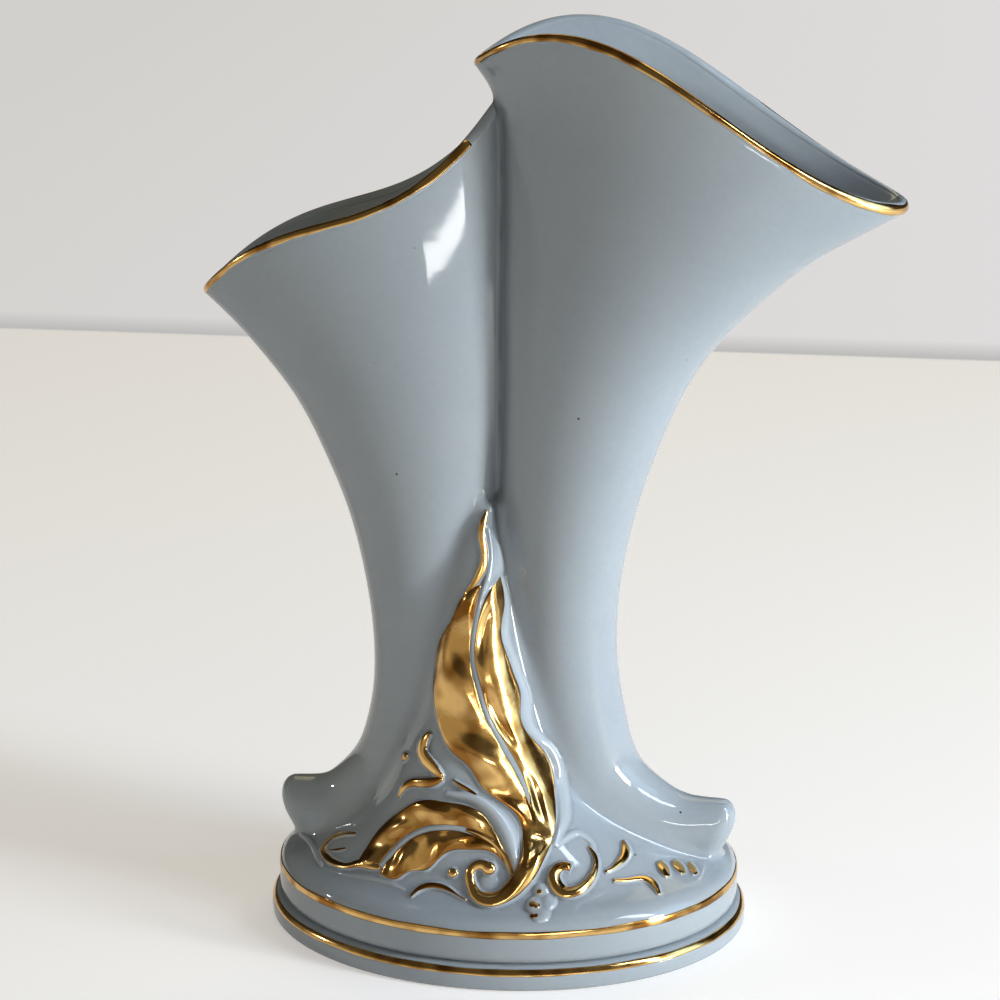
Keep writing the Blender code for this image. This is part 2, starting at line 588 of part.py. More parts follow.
def build_blade(name, vein, edge, span, side, ground, home):
    """One blade of a leaf, crowned and rippled, between its outer edge and the gap beside its vein."""
    start, end, ripples = span
    inner = path_through(vein, 60)
    away = sideways(inner) * side
    inner = inner[:, :2] + away * (inner[:, 2:3] + LEAF_GAP)
    share = np.linspace(0, 1, len(inner))
    at = np.linspace(start, end, BLADE_LOOPS)
    inner = np.stack([np.interp(at, share, inner[:, 0]), np.interp(at, share, inner[:, 1])], axis=1)
    outer = path_through(edge, BLADE_LOOPS)
    loops = []
    for i, (near, far) in enumerate(zip(inner, outer)):
        t = i / (BLADE_LOOPS - 1)
        loop = []
        for s in np.linspace(0, 1, 6):
            ripple = BLADE_RIPPLE * math.sin(2 * math.pi * ripples * t) * math.sin(math.pi * s)
            crown = BLADE_CROWN * math.sin(math.pi * s)**0.7 * min(1, 6 * t + 0.3)
            loop.append(ground.at(near + (far - near) * s, BLADE_EDGE + crown + ripple))
        loop += [ground.at(near + (far - near) * s) for s in np.linspace(1, 0, 5)]
        loops.append(loop)
    loops = np.array(loops)
    vertices, faces = loop_mesh(loops, loops[0].mean(axis=0), loops[-1].mean(axis=0))
    return new_object(name, vertices, faces, "gold", home)


def build_bead(name, x, up, radius, ground, home):
    """A flattened bead that rests on the ground."""
    shape = bmesh.new()
    bmesh.ops.create_uvsphere(shape, u_segments=10, v_segments=6, radius=radius)
    mesh = bpy.data.meshes.new(name)
    shape.to_mesh(mesh)
    shape.free()
    mesh.materials.append(material("gold"))
    mesh.shade_smooth()
    bead = bpy.data.objects.new(name, mesh)
    hit, slope = ground.under((x, up))
    bead.scale = (1.0, 1.0, BEAD_FLATNESS)
    bead.rotation_euler = slope.to_track_quat("Z", "Y").to_euler()
    bead.location = hit + slope * (RELIEF_GAP + radius * BEAD_FLATNESS)
    home.objects.link(bead)
    return bead


def border_places():
    """The glazed border's places: beside the tall leaf's right blade, all along its outer edge."""
    count = 30
    edge = path_through(TALL_RIGHT_EDGE, count)
    widths = np.interp(np.linspace(0, 1, count), np.linspace(0, 1, len(TALL_BORDER_HALF_WIDTHS)),
                       TALL_BORDER_HALF_WIDTHS)
    middle = edge + sideways(edge) * (LEAF_GAP + widths[:, None])
    return np.column_stack([middle, widths])[::3]


def build_relief(ground, home):
    """The leaves, scrolls, sprigs, beads and drops."""
    build_blade("tall_leaf_left_blade", TALL_VEIN, TALL_LEFT_EDGE, TALL_LEFT_SPAN, -1, ground, home)
    build_blade("tall_leaf_right_blade", TALL_VEIN, TALL_RIGHT_EDGE, TALL_RIGHT_SPAN, 1, ground, home)
    build_ridge("tall_leaf_midrib", TALL_VEIN, "glaze", ground, home, VEIN_HEIGHT)
    build_ridge("tall_leaf_border", border_places(), "glaze", ground, home)
    build_blade("low_leaf_upper_blade", LOW_VEIN, LOW_UPPER_EDGE, LOW_UPPER_SPAN, 1, ground, home)
    build_blade("low_leaf_lower_blade", LOW_VEIN, LOW_LOWER_EDGE, LOW_LOWER_SPAN, -1, ground, home)
    build_ridge("low_leaf_midrib", LOW_VEIN, "glaze", ground, home, VEIN_HEIGHT)
    for name, places in RIDGES.items():
        build_ridge(name, places, "gold", ground, home)
    for name, (x, up, radius) in BEADS.items():
        build_bead(name, x, up, radius, ground, home)


def build():
    """The whole vase."""
    for old in list(bpy.data.objects):
        bpy.data.objects.remove(old)
    home = collection("double_vase")
    tools = collection("cutters")
    tall_lip = (*TALL_LIP_LEFT, *TALL_LIP_RIGHT, TALL_LIP_HALF_DEPTH, TALL_LIP_BOW, TALL_LIP_SWAY, 0.0)
    short_lip = (*SHORT_LIP_LEFT, *SHORT_LIP_RIGHT, SHORT_LIP_HALF_DEPTH, SHORT_LIP_BOW, SHORT_LIP_SWAY, 0.0)
    tall_room = horn_clearance("tall_horn_room", tall_lip, TALL_STATIONS, tools)
    short_room = horn_clearance("short_horn_room", short_lip, SHORT_STATIONS, tools)
    seat = seat_cutter(tools)
    build_plinth(home)
    tall = build_horn("tall_horn", tall_lip, TALL_STATIONS, home)
    short = build_horn("short_horn", short_lip, SHORT_STATIONS, home)
    mound = build_mound(home)
    cut(tall, seat)
    cut(short, seat)
    cut(short, tall_room)
    cut(mound, tall_room)
    cut(mound, short_room)
    build_lip_gilding("tall_horn_gilding", tall_lip, TALL_STATIONS, home)
    build_lip_gilding("short_horn_gilding", short_lip, SHORT_STATIONS, home, ends=-0.0095)
    plinth = bpy.data.objects["plinth_upper"]
    carriers = [(mound, False), (tall_room, False), (short_room, False), (plinth, True)]
    build_relief(Ground(carriers), home)


build()
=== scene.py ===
"""Double vase in pale blue glaze with bright gilding: the looks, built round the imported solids.

Metres, +Z up. The origin is the middle of the foot's underside and the relief faces -Y.
"""

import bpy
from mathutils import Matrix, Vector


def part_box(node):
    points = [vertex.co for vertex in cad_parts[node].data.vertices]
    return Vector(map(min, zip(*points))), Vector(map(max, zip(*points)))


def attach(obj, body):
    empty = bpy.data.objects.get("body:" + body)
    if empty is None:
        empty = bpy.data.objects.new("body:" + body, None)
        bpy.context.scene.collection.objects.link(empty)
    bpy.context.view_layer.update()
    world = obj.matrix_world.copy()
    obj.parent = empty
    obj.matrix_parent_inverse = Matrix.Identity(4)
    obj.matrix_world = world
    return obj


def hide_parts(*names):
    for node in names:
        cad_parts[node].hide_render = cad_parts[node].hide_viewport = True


bl_info = {
    "name": "Double Vase",
    "version": (1, 0, 0),
    "blender": (4, 5, 0),
    "location": "3D View > Sidebar > Vase",
    "description": "A glazed vase of two horns with a gilded acanthus relief, on a plain stage",
    "category": "Object",
}

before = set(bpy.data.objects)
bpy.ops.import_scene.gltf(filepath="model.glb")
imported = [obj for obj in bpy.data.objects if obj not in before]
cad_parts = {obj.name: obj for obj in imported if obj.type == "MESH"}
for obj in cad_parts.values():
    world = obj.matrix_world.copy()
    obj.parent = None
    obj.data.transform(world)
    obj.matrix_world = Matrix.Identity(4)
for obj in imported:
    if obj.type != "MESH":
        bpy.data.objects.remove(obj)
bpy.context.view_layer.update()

import functools
import math

import bpy
import numpy as np
import openvdb
from bpy.props import FloatProperty, FloatVectorProperty, PointerProperty
from mathutils import Matrix, Vector

MM = 0.001
BODY_NODES = ("tall_horn", "short_horn", "mound", "plinth_upper")

# Foot: an oval of two steps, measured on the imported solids
LOWER_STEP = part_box("plinth_lower")
UPPER_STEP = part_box("plinth_upper")
FOOT_OVAL = UPPER_STEP[1].y / UPPER_STEP[1].x
FOOT_TOP = UPPER_STEP[1].z
LOWER_SHOULDER = 2.8 * MM
LOWER_FOOT_EDGE = 1.2 * MM
UPPER_SHOULDER = 4.0 * MM
UPPER_FOOT_EDGE = 1.4 * MM
FOOT_RING = 9.0 * MM
FOOT_RECESS = 1.2 * MM
BARE_LEVEL = 0.1 * MM
# The gold lines on the shoulders: their width, how far up each shoulder they lie, and how their edges waver
GOLD_LINE_WIDTH = 1.7 * MM
LOWER_LINE_TURN = math.radians(36)
UPPER_LINE_TURN = math.radians(12)
LINE_WAVER = 0.014

# Horns, from lip to tail: left x and z, right x and z, half depth, bow, sway, how much thicker the right wall
# is, and how much deeper the right half is than the left. Bow and sway lift a ring's sides above its chord.
TALL_HORN = (
    (-0.0084, 0.2084, 0.0920, 0.1772, 0.0225, 0.0138, -0.0150, 0.0, 0.12),
    (-0.0034, 0.2004, 0.0830, 0.1720, 0.0216, 0.0095, -0.0100, 0.0, 0.2),
    (-0.0028, 0.1880, 0.0720, 0.1655, 0.0206, 0.0060, -0.0065, 0.0, 0.28),
    (-0.0036, 0.1750, 0.0610, 0.1565, 0.0194, 0.0035, -0.0035, 0.0, 0.3),
    (-0.0044, 0.1600, 0.0515, 0.1470, 0.0182, 0.0015, -0.0015, 0.0, 0.26),
    (-0.0044, 0.1430, 0.0435, 0.1360, 0.0168, 0.0, 0.0, 0.0, 0.2),
    (-0.0036, 0.1210, 0.0350, 0.1170, 0.0153, 0.0, 0.0, 0.0, 0.12),
    (-0.0020, 0.1000, 0.0295, 0.0985, 0.0138, 0.0, 0.0, 0.0, 0.05),
    (0.0000, 0.0800, 0.0265, 0.0800, 0.0130, 0.0, 0.0, 0.0, 0.0),
    (0.0010, 0.0640, 0.0265, 0.0650, 0.0128, 0.0, 0.0, 0.0, 0.0),
    (0.0025, 0.0480, 0.0286, 0.0520, 0.0128, 0.0, 0.0, 0.0, 0.0),
    (0.0060, 0.0330, 0.0315, 0.0420, 0.0122, 0.0, 0.0, 0.0, 0.0),
    (0.0140, 0.0200, 0.0358, 0.0370, 0.0113, 0.0, 0.0, 0.0, 0.0),
    (0.0260, 0.0150, 0.0410, 0.0334, 0.0096, 0.0, 0.0, 0.0, 0.0),
    (0.0365, 0.0147, 0.0455, 0.0321, 0.0077, 0.0, 0.0, 0.0, 0.0),
    (0.0460, 0.0156, 0.0519, 0.0319, 0.0058, 0.0, 0.0, 0.0, 0.0),
)
SHORT_HORN = (
    (-0.0730, 0.1530, -0.0005, 0.2005, 0.0160, -0.0030, -0.0120, 0.0, 0.0),
    (-0.0650, 0.1455, 0.0010, 0.1850, 0.0158, -0.0015, -0.0075, 0.0052, 0.0),
    (-0.0570, 0.1365, 0.0020, 0.1680, 0.0156, -0.0006, -0.0040, 0.0080, 0.0),
    (-0.0500, 0.1270, 0.0025, 0.1500, 0.0152, 0.0, -0.0015, 0.0085, 0.0),
    (-0.0437, 0.1145, 0.0025, 0.1300, 0.0146, 0.0, 0.0, 0.0075, 0.0),
    (-0.0382, 0.1005, 0.0000, 0.1100, 0.0138, 0.0, 0.0, 0.0035, 0.0),
    (-0.0345, 0.0850, -0.0030, 0.0910, 0.0130, 0.0, 0.0, 0.0, 0.0),
    (-0.0326, 0.0700, -0.0060, 0.0730, 0.0126, 0.0, 0.0, 0.0, 0.0),
    (-0.0328, 0.0570, -0.0085, 0.0580, 0.0125, 0.0, 0.0, 0.0, 0.0),
    (-0.0345, 0.0480, -0.0105, 0.0450, 0.0123, 0.0, 0.0, 0.0, 0.0),
    (-0.0372, 0.0408, -0.0135, 0.0320, 0.0118, 0.0, 0.0, 0.0, 0.0),
    (-0.0412, 0.0358, -0.0195, 0.0200, 0.0108, 0.0, 0.0, 0.0, 0.0),
    (-0.0434, 0.0338, -0.0280, 0.0150, 0.0095, 0.0, 0.0, 0.0, 0.0),
    (-0.0460, 0.0323, -0.0370, 0.0147, 0.0082, 0.0, 0.0, 0.0, 0.0),
    (-0.0525, 0.0317, -0.0466, 0.0156, 0.0070, 0.0, 0.0, 0.0, 0.0),
)
TAIL_ROUNDING = 5.8 * MM
CAVITY_FLOOR = 0.0400
# The glaze round each lip: how far it stands off, how deep its edges sink, and its reach from the crest
LIP_GLAZE = 0.03 * MM
LIP_SINK = 0.25 * MM
LIP_GLAZE_TURN = math.radians(116)
# The gold line on each lip, between two turns up from the lip's outside, and how its edges waver
LIP_GOLD_LOW = math.radians(8)
LIP_GOLD_HIGH = math.radians(104)
LIP_GOLD_WAVER = math.radians(3)
# The short lip's line stops at this x, and the tall lip's is narrower between two angles round the back
SHORT_GOLD_END = -6.8 * MM
FAR_GOLD_START = math.radians(72)
FAR_GOLD_END = math.radians(172)
FAR_GOLD_CUT = math.radians(70)
FAR_GOLD_EASE = math.radians(8)

# The ground between the horns: height above the foot, middle x, half width, half depth of its level sections
GROUND_SECTIONS = (
    (0.0000, 0.0000, 0.0480, 0.0385), (0.0040, -0.0010, 0.0425, 0.0358), (0.0090, -0.0025, 0.0350, 0.0332),
    (0.0160, -0.0046, 0.0274, 0.0305), (0.0260, -0.0059, 0.0211, 0.0274), (0.0390, -0.0054, 0.0158, 0.0240),
    (0.0540, -0.0058, 0.0115, 0.0202), (0.0690, -0.0056, 0.0078, 0.0163), (0.0810, -0.0048, 0.0047, 0.0132),
    (0.0890, -0.0035, 0.0022, 0.0104),
)
GROUND_SQUARENESS = 2.4
GROUND_SINK = 2 * MM

# The sheet that the relief is drawn on: a place is its x and its height up the sheet
SHEET_LEAN = math.radians(30)
SHEET_UP = np.array([0.0, math.sin(SHEET_LEAN), math.cos(SHEET_LEAN)])
SHEET_OUT = np.array([0.0, -math.cos(SHEET_LEAN), math.sin(SHEET_LEAN)])
SHEET_LOW = np.array([-56.0, -15.0]) * MM
SHEET_HIGH = np.array([56.0, 92.0]) * MM
# The body's front is looked for between these heights over the sheet, in careful steps of what is still to go
GROUND_START = 75 * MM
GROUND_END = -30 * MM
GROUND_STEPS = 70
CAREFUL_STEP = 0.9
FRONT_REACH = 1 * MM

# The glazed relief: how far it runs past its forms, where it begins, and how its rim is sunk into the body
BED_MARGIN = 0.45 * MM
BED_START = 0.02 * MM
BED_EASE = 0.3 * MM
BED_SINK = 0.3 * MM
BED_THICKNESS = 0.6 * MM
# A blade's forms: the width from which they are full, its trough and rolled edge, and its fall at the foot
BROAD_BLADE = 6.0 * MM
NARROW_FORM = 0.15
TROUGH_PLACE = 1.6 * MM
TROUGH_REACH = 1.0 * MM
TROUGH_MEAN = 0.45
EDGE_ROLL = 0.9 * MM
BLADE_FALL = 0.14
FALL_DEPTH = 0.4
# Ridges and domes: how round they are across, how a stroke's height follows its width, and the volute's rise
ROUNDNESS = 0.6
END_ROUNDNESS = 0.35
STROKE_HEIGHT = 0.95
MARGIN_HEIGHT = 0.7
BORDER_CROWN = 1.5 * MM
VOLUTE_RISE = 0.2
RISE_START = 0.12
# Where the blades run into the volute, how far round it their forms are blended, and over which share of that
KNOT = np.array([11.3, 13.2]) * MM
KNOT_REACH = 5.5 * MM
KNOT_EASE = 2 / 3

# The gold on the relief: its gaps to a blade's vein and edge, and where it covers the tall leaf's vein
VEIN_GAP = 0.12 * MM
EDGE_GAP = 0.06 * MM
VEIN_COVER = 0.5 * MM
VEIN_GILT_HEIGHT = 22 * MM
VEIN_GILT_FADE = 3 * MM
BRUSH_WAVER = 0.04 * MM
LEAST_STROKE = 0.1 * MM
LEAST_BLADE = 0.6 * MM
EXTRA_STROKES = {"low_leaf_stem", "upper_thread", "curl_thread"}
# How thin the gold is at its rim, and how many times its thickness its back is sunk in the glaze
RIM_GILT = 0.2
GILT_SINK = 3
# How much browner than the rest the gold of some pieces is, and all gold in hollows, as painted shade, and at
# its rim
BROWN_PIECES = {"low_leaf_upper_blade": 0.07, "low_leaf_lower_blade": 0.05, "low_leaf_stem": 0.03,
                "upper_thread": 0.2, "curl_thread": 0.2, "foot_sprig": 0.06}
HOLLOW_SHADE_BROWN = 0.06
RIM_BROWN = 0.45

# Glaze pooled with painted shade: how deep a hollow and a filled join are when their pools and shade are
# full, and what each adds
POOL_DEPTH = 0.6 * MM
FULL_POOL = 2.2 * MM
HOLLOW_POOL_SHADE = 0.6
JOIN_POOL_SHADE = 0.3
# The valley between the horns, painted with shade and pooled glaze: how far that reaches from it, and the
# heights over which it begins
CREASE_REACH = 4.0 * MM
CREASE_LOW = 84 * MM
CREASE_FADE = 18 * MM

# Ridges of the relief in millimetres: places along the middle, each with the half width there
TALL_VEIN = (
    (-2.9, 82.0, 0.25), (-1.9, 79.0, 1.1), (-1.1, 76.0, 1.5), (-1.2, 72.7, 1.6), (-2.1, 69.8, 1.3),
    (-3.1, 67.0, 0.9), (-4.0, 63.8, 0.65), (-5.0, 58.3, 0.5), (-5.2, 51.5, 0.5), (-3.7, 45.9, 0.55),
    (-1.4, 39.3, 0.55), (1.9, 33.9, 0.55), (5.0, 29.2, 0.5), (7.2, 25.4, 0.42), (9.3, 19.9, 0.3),
    (11.3, 14.2, 0.3), (11.9, 11.2, 0.25),
)
LOW_VEIN = (
    (-25.5, 3.9, 0.5), (-23.5, 6.6, 0.65), (-20.7, 9.4, 0.65), (-16.3, 12.1, 0.55), (-11.4, 13.1, 0.5),
    (-6.6, 13.1, 0.45), (-1.8, 12.0, 0.45), (1.8, 10.2, 0.4), (4.2, 7.6, 0.35),
)
STROKES = {
    "tall_leaf_tendril": (
        (-3.1, 85.5, 0.2), (-3.9, 82.6, 0.75), (-4.2, 79.8, 0.8), (-3.5, 76.6, 0.8), (-3.4, 73.5, 0.85),
        (-4.5, 70.4, 0.75), (-6.0, 67.9, 0.55), (-7.9, 65.9, 0.25),
    ),
    "tall_leaf_volute": (
        (11.6, 13.6, 3.3), (11.3, 11.0, 3.15), (11.0, 8.8, 2.75), (10.4, 6.4, 2.5), (9.2, 3.4, 2.35),
        (6.9, 0.05, 2.1), (4.15, -2.25, 1.8), (1.0, -2.9, 1.75), (-1.5, -1.9, 1.4), (-3.1, 0.6, 1.05),
        (-3.6, 3.0, 0.95), (-2.3, 4.8, 1.0), (-0.5, 5.1, 1.2), (0.8, 4.5, 1.2),
    ),
    "low_leaf_stem": (
        (-5.0, 12.9, 0.3), (-1.8, 12.0, 0.5), (1.8, 10.2, 0.6), (4.4, 7.6, 0.6), (6.2, 4.0, 0.5),
        (6.9, 0.6, 0.3),
    ),
    "upper_thread": ((-8.8, 24.2, 0.23), (-7.1, 23.1, 0.42), (-5.1, 22.1, 0.42), (-3.0, 21.1, 0.23)),
    "curl_thread": ((-40.7, 8.4, 0.2), (-38.2, 8.3, 0.3), (-35.8, 8.6, 0.2)),
    "low_leaf_curl": (
        (-25.6, 3.4, 0.4), (-28.4, 4.1, 0.95), (-31.3, 4.5, 1.0), (-34.3, 4.0, 0.75), (-38.0, 4.8, 0.75),
        (-41.1, 6.8, 0.85), (-42.5, 9.0, 0.85), (-41.4, 11.4, 0.75), (-38.7, 12.5, 0.6), (-33.7, 12.3, 0.3),
    ),
    "right_scroll": (
        (19.6, 6.2, 1.0), (17.8, 6.4, 1.0), (16.1, 4.6, 1.25), (16.6, 2.0, 1.45), (18.5, 0.3, 1.45),
        (20.8, 0.5, 1.3), (23.1, 2.2, 1.05), (24.5, 4.5, 0.85), (25.1, 7.4, 0.65), (24.6, 9.7, 0.5),
        (22.8, 12.0, 0.2),
    ),
    "left_sprig_upper": (
        (-15.0, 35.1, 0.4), (-16.5, 33.3, 1.1), (-16.9, 30.9, 1.2), (-15.6, 28.6, 1.3), (-13.9, 27.0, 1.15),
        (-12.4, 25.5, 0.9), (-11.4, 24.5, 0.5),
    ),
    "left_sprig_lower": (
        (-11.1, 24.4, 0.4), (-13.2, 23.6, 1.0), (-16.6, 23.3, 1.0), (-19.5, 23.3, 0.9), (-21.6, 22.0, 0.7),
        (-22.5, 20.2, 0.3),
    ),
    "foot_sprig": (
        (-17.2, -3.3, 0.25), (-15.7, -1.5, 0.5), (-13.4, -0.4, 0.6), (-10.9, -0.3, 0.6), (-8.5, -0.9, 0.5),
        (-6.0, -2.2, 0.3), (-3.6, -3.4, 0.2),
    ),
    "right_sprig_upper": (
        (27.2, 6.2, 0.3), (28.6, 7.1, 0.4), (29.8, 8.5, 0.65), (30.9, 10.3, 0.9), (31.1, 12.2, 0.9),
        (30.0, 15.0, 0.3),
    ),
    "right_sprig_lower": (
        (29.2, 4.3, 0.3), (31.9, 4.7, 0.4), (34.5, 5.5, 0.5), (36.7, 5.7, 0.75), (38.4, 4.7, 0.8),
        (40.2, 2.0, 0.3),
    ),
    "drop_1": ((38.7, 11.0, 0.4), (40.0, 9.1, 1.0), (41.4, 6.9, 0.4)),
    "drop_2": ((41.8, 11.8, 0.4), (43.2, 10.2, 1.0), (44.7, 8.4, 0.4)),
    "drop_3": ((45.2, 11.8, 0.3), (46.3, 10.2, 0.7), (47.5, 8.6, 0.3)),
}
LOW_LEAF_BACK = (
    (-10.4, 21.2, 0.6), (-7.5, 20.8, 0.95), (-4.1, 20.3, 1.2), (-1.0, 18.9, 1.5), (1.7, 16.8, 1.85),
    (3.9, 14.0, 2.1), (5.6, 10.2, 1.85), (6.7, 6.8, 1.25), (7.4, 3.9, 0.6),
)
SCROLL_ARCH = (
    (15.8, 10.8, 0.5), (17.0, 12.6, 0.8), (18.2, 14.0, 0.95), (19.8, 15.0, 0.95), (21.6, 14.5, 0.8),
    (23.3, 13.1, 0.6), (24.4, 11.2, 0.35),
)
LEFT_VINE = ((-50.4, 13.2, 0.4), (-48.0, 11.8, 0.6), (-44.9, 8.7, 0.6), (-42.7, 5.8, 0.6), (-41.0, 3.9, 0.4))
FOOT_VINE = (
    (-39.2, 3.3, 0.35), (-33.9, 1.7, 0.5), (-28.5, 1.0, 0.6), (-23.3, -0.1, 0.6), (-18.8, -1.6, 0.35),
)
# Ridges that stay glazed, each with its crown in millimetres, and the groove cut in the volute's root
GLAZED_RIDGES = (
    (TALL_VEIN, 1.6), (LOW_VEIN, 1.3), (LOW_LEAF_BACK, 1.8), (SCROLL_ARCH, 0.8), (LEFT_VINE, 0.8),
    (FOOT_VINE, 0.45),
)
VOLUTE_GROOVE = ((11.3, 14.2, 0.5), (11.9, 11.2, 0.8), (11.3, 8.4, 0.7), (10.2, 5.4, 0.4))
GROOVE_DEPTH = 0.7 * MM
BORDER_HALF_WIDTHS = (0.2, 0.5, 0.8, 0.9, 1.1, 1.2, 1.3, 1.5, 1.5, 0.7)

# Outer edges of the leaves' blades in millimetres, from tip to foot
TALL_LEFT_EDGE = (
    (-4.0, 68.6), (-6.6, 67.0), (-8.9, 64.8), (-10.9, 60.8), (-13.8, 56.6), (-14.9, 51.7), (-14.8, 43.2),
    (-12.7, 36.1), (-9.6, 30.6), (-4.9, 27.1), (-2.3, 23.4), (2.5, 19.9), (6.3, 17.2), (7.9, 13.8),
    (8.2, 11.2),
)
TALL_RIGHT_EDGE = (
    (0.1, 71.4), (1.2, 65.6), (1.0, 60.6), (1.1, 57.4), (2.6, 53.3), (4.4, 48.9), (5.7, 45.0), (6.0, 40.7),
    (7.4, 37.0), (10.7, 34.0), (12.8, 30.5), (14.0, 25.3), (15.0, 19.0), (15.1, 14.7), (14.5, 11.2),
)
LOW_UPPER_EDGE = (
    (-32.0, 4.9), (-30.0, 8.6), (-27.0, 13.2), (-21.9, 16.8), (-16.8, 19.3), (-10.5, 19.1), (-5.0, 18.5),
    (-0.8, 16.4), (2.2, 12.3), (4.6, 7.8), (6.2, 3.6),
)
LOW_LOWER_EDGE = (
    (-25.6, 2.0), (-21.1, 0.9), (-18.1, 2.7), (-14.2, 3.1), (-11.4, 5.7), (-8.7, 7.7), (-3.9, 8.4),
    (-0.4, 8.5), (2.5, 7.5), (4.8, 5.0),
)
# A blade's vein, which rows of it count, its outer edge, its side of the vein, and its look: edge, crown and
# ripple in millimetres, how many ripples, how far they run ahead at the edge, where they start, the trough
# in millimetres and where that starts
BLADES = {
    "tall_leaf_left_blade": (TALL_VEIN, lambda vein: vein[:, 1] < 67.5 * MM, TALL_LEFT_EDGE, -1,
                             (0.60, 0.70, 0.55, 3.33, 0.20, -0.4, 0.0, 0.0)),
    "tall_leaf_right_blade": (TALL_VEIN, lambda vein: vein[:, 1] < 71.0 * MM, TALL_RIGHT_EDGE, 1,
                              (1.10, 0.30, 0.25, 3.25, 0.00, 0.2, 1.1, 3.3)),
    "low_leaf_upper_blade": (LOW_VEIN, lambda vein: vein[:, 0] > -25.5 * MM, LOW_UPPER_EDGE, 1,
                             (0.55, 0.80, 0.35, 4.3, 0.50, 0.0, 0.3, 1.0)),
    "low_leaf_lower_blade": (LOW_VEIN, lambda vein: vein[:, 0] > -24.6 * MM, LOW_LOWER_EDGE, -1,
                             (0.55, 0.70, 0.35, 4.6, 0.40, 1.6, 0.2, 0.0)),
}
# Beads and domes in millimetres: place, radius and height, and the bud's dabs of gold with place and radius
BEADS = {"left_bead": (-21.9, 30.0, 1.1, 0.9), "foot_bead": (-7.6, 2.9, 1.1, 0.9)}
SCROLL_KNOB = (0.9, 4.4, 1.55, 1.7)
GLAZED_DOMES = (SCROLL_KNOB, (0.9, 1.2, 2.0, 0.7), (13.5, 0.0, 1.7, 1.0), (12.4, -3.4, 1.9, 1.2),
                (15.1, -2.4, 1.8, 1.1), (14.0, -5.4, 2.0, 0.9), (16.4, 0.4, 1.0, 0.6))
BUD_DABS = ((13.0, -0.2, 0.65), (11.8, -3.3, 0.8), (12.9, -3.6, 0.7), (12.2, -6.2, 0.6), (13.1, -6.1, 0.5))

# Mesh fineness: how many sides, rings, rows and columns the surfaces have
HORN_SIDES = 224
HORN_RINGS = 150
CAVITY_RINGS = 90
LIP_STEPS = 12
LIP_GLAZE_STEPS = 33
FOOT_SIDES = 288
GROUND_RINGS = 60
BORDER_ROWS = 40
VEIN_ROWS = 400
BLADE_ROWS = 1500
BLADE_COLUMNS = 420
RIDGE_COLUMNS = 81
DOME_RINGS = 90
DOME_SIDES = 240
STROKE_COLUMNS = 15
DISC_RINGS = 9
DISC_SIDES = 40
LIP_GOLD_STEPS = 9
FOOT_GOLD_STEPS = 7
LEAST_ROWS = 12
LEAST_COLUMNS = 9
GOLD_STEP = 0.33 * MM
# Rings left out under a lip, rings that give a horn's direction at its ends, and turns that round an end
LIP_SETTLE = 3
LIP_AIM = 4
END_AIM = 4
END_TURNS = np.radians(np.linspace(6, 86, 14))
# The body's grid: cells within which distances are kept, room round the body, and how a slope is measured
BAND_REACH = 17
BODY_MARGIN = 4 * MM
SLOPE_REACH = 0.9
SURFACE_PASSES = 2
# The sheets' cells, and how many times their heights are blurred
GROUND_CELL = 0.4 * MM
RELIEF_CELL = 0.125 * MM
BED_CELL = 0.3 * MM
GROUND_SOFTNESS = 2
SOFTNESS = 5
POOL_REACH = 40
KNOT_SOFTNESS = 60

# The camera stands off to the right and above, and looks at a point inside the vase
CAMERA_TURN = math.radians(9.0)
CAMERA_RISE = math.radians(16.526)
CAMERA_DISTANCE = 0.760
CAMERA_TARGET = Vector((-0.001949, 0.0, 0.10431))
SENSOR = 36.0
FOCUS_PIXELS = 3215.04
PICTURE_PIXELS = 1000
CAMERA_NEAREST = 0.01
CAMERA_FARTHEST = 100.0
# The table: its reach, where its far edge crosses the middle, and the edge's slant, blur, shadow and shade
TABLE_REACH = 40.0
TABLE_EDGE = 0.57683
TABLE_EDGE_SLANT = 0.019181
EDGE_BLUR = 0.004
EDGE_SHADOW = 0.03
EDGE_SHADE = (0.50, 0.495, 0.49, 1.0)
# Where the wall's colour starts and stops changing on its way to the right, and the room's warm light
WALL_LEFT = -0.5
WALL_RIGHT = 0.6
ROOM_TINT = (1.0, 0.88, 0.64, 1.0)
# Lamps: whose power they take, size, place, what they are aimed at, tint, and roll about their aim
VASE_MIDDLE = (0.0, 0.0, 0.11)
PLAIN = (1.0, 1.0, 1.0)
LAMPS = (
    ("key", (0.12, 0.35), (0.909, -0.278, 0.20), VASE_MIDDLE, (1.0, 1.01, 0.93), 0.0),
    ("high", (0.12, 0.5), (0.76, -0.232, 0.75), VASE_MIDDLE, (0.85, 0.98, 1.2), 0.0),
    ("side", (0.5, 0.7), (0.95, -0.05, 0.45), VASE_MIDDLE, (0.6, 0.97, 1.45), 0.0),
    ("top", (1.0, 0.6), (0.0, 0.8, 0.95), VASE_MIDDLE, (1.2, 1.04, 0.65), 0.0),
    ("pane", (0.23, 0.026), (0.20, -0.46, 0.115), (-0.015, -0.012, 0.170), PLAIN, math.radians(12)),
    ("spark", (0.03, 0.03), (-0.8, -0.07, 0.35), VASE_MIDDLE, PLAIN, 0.0),
)


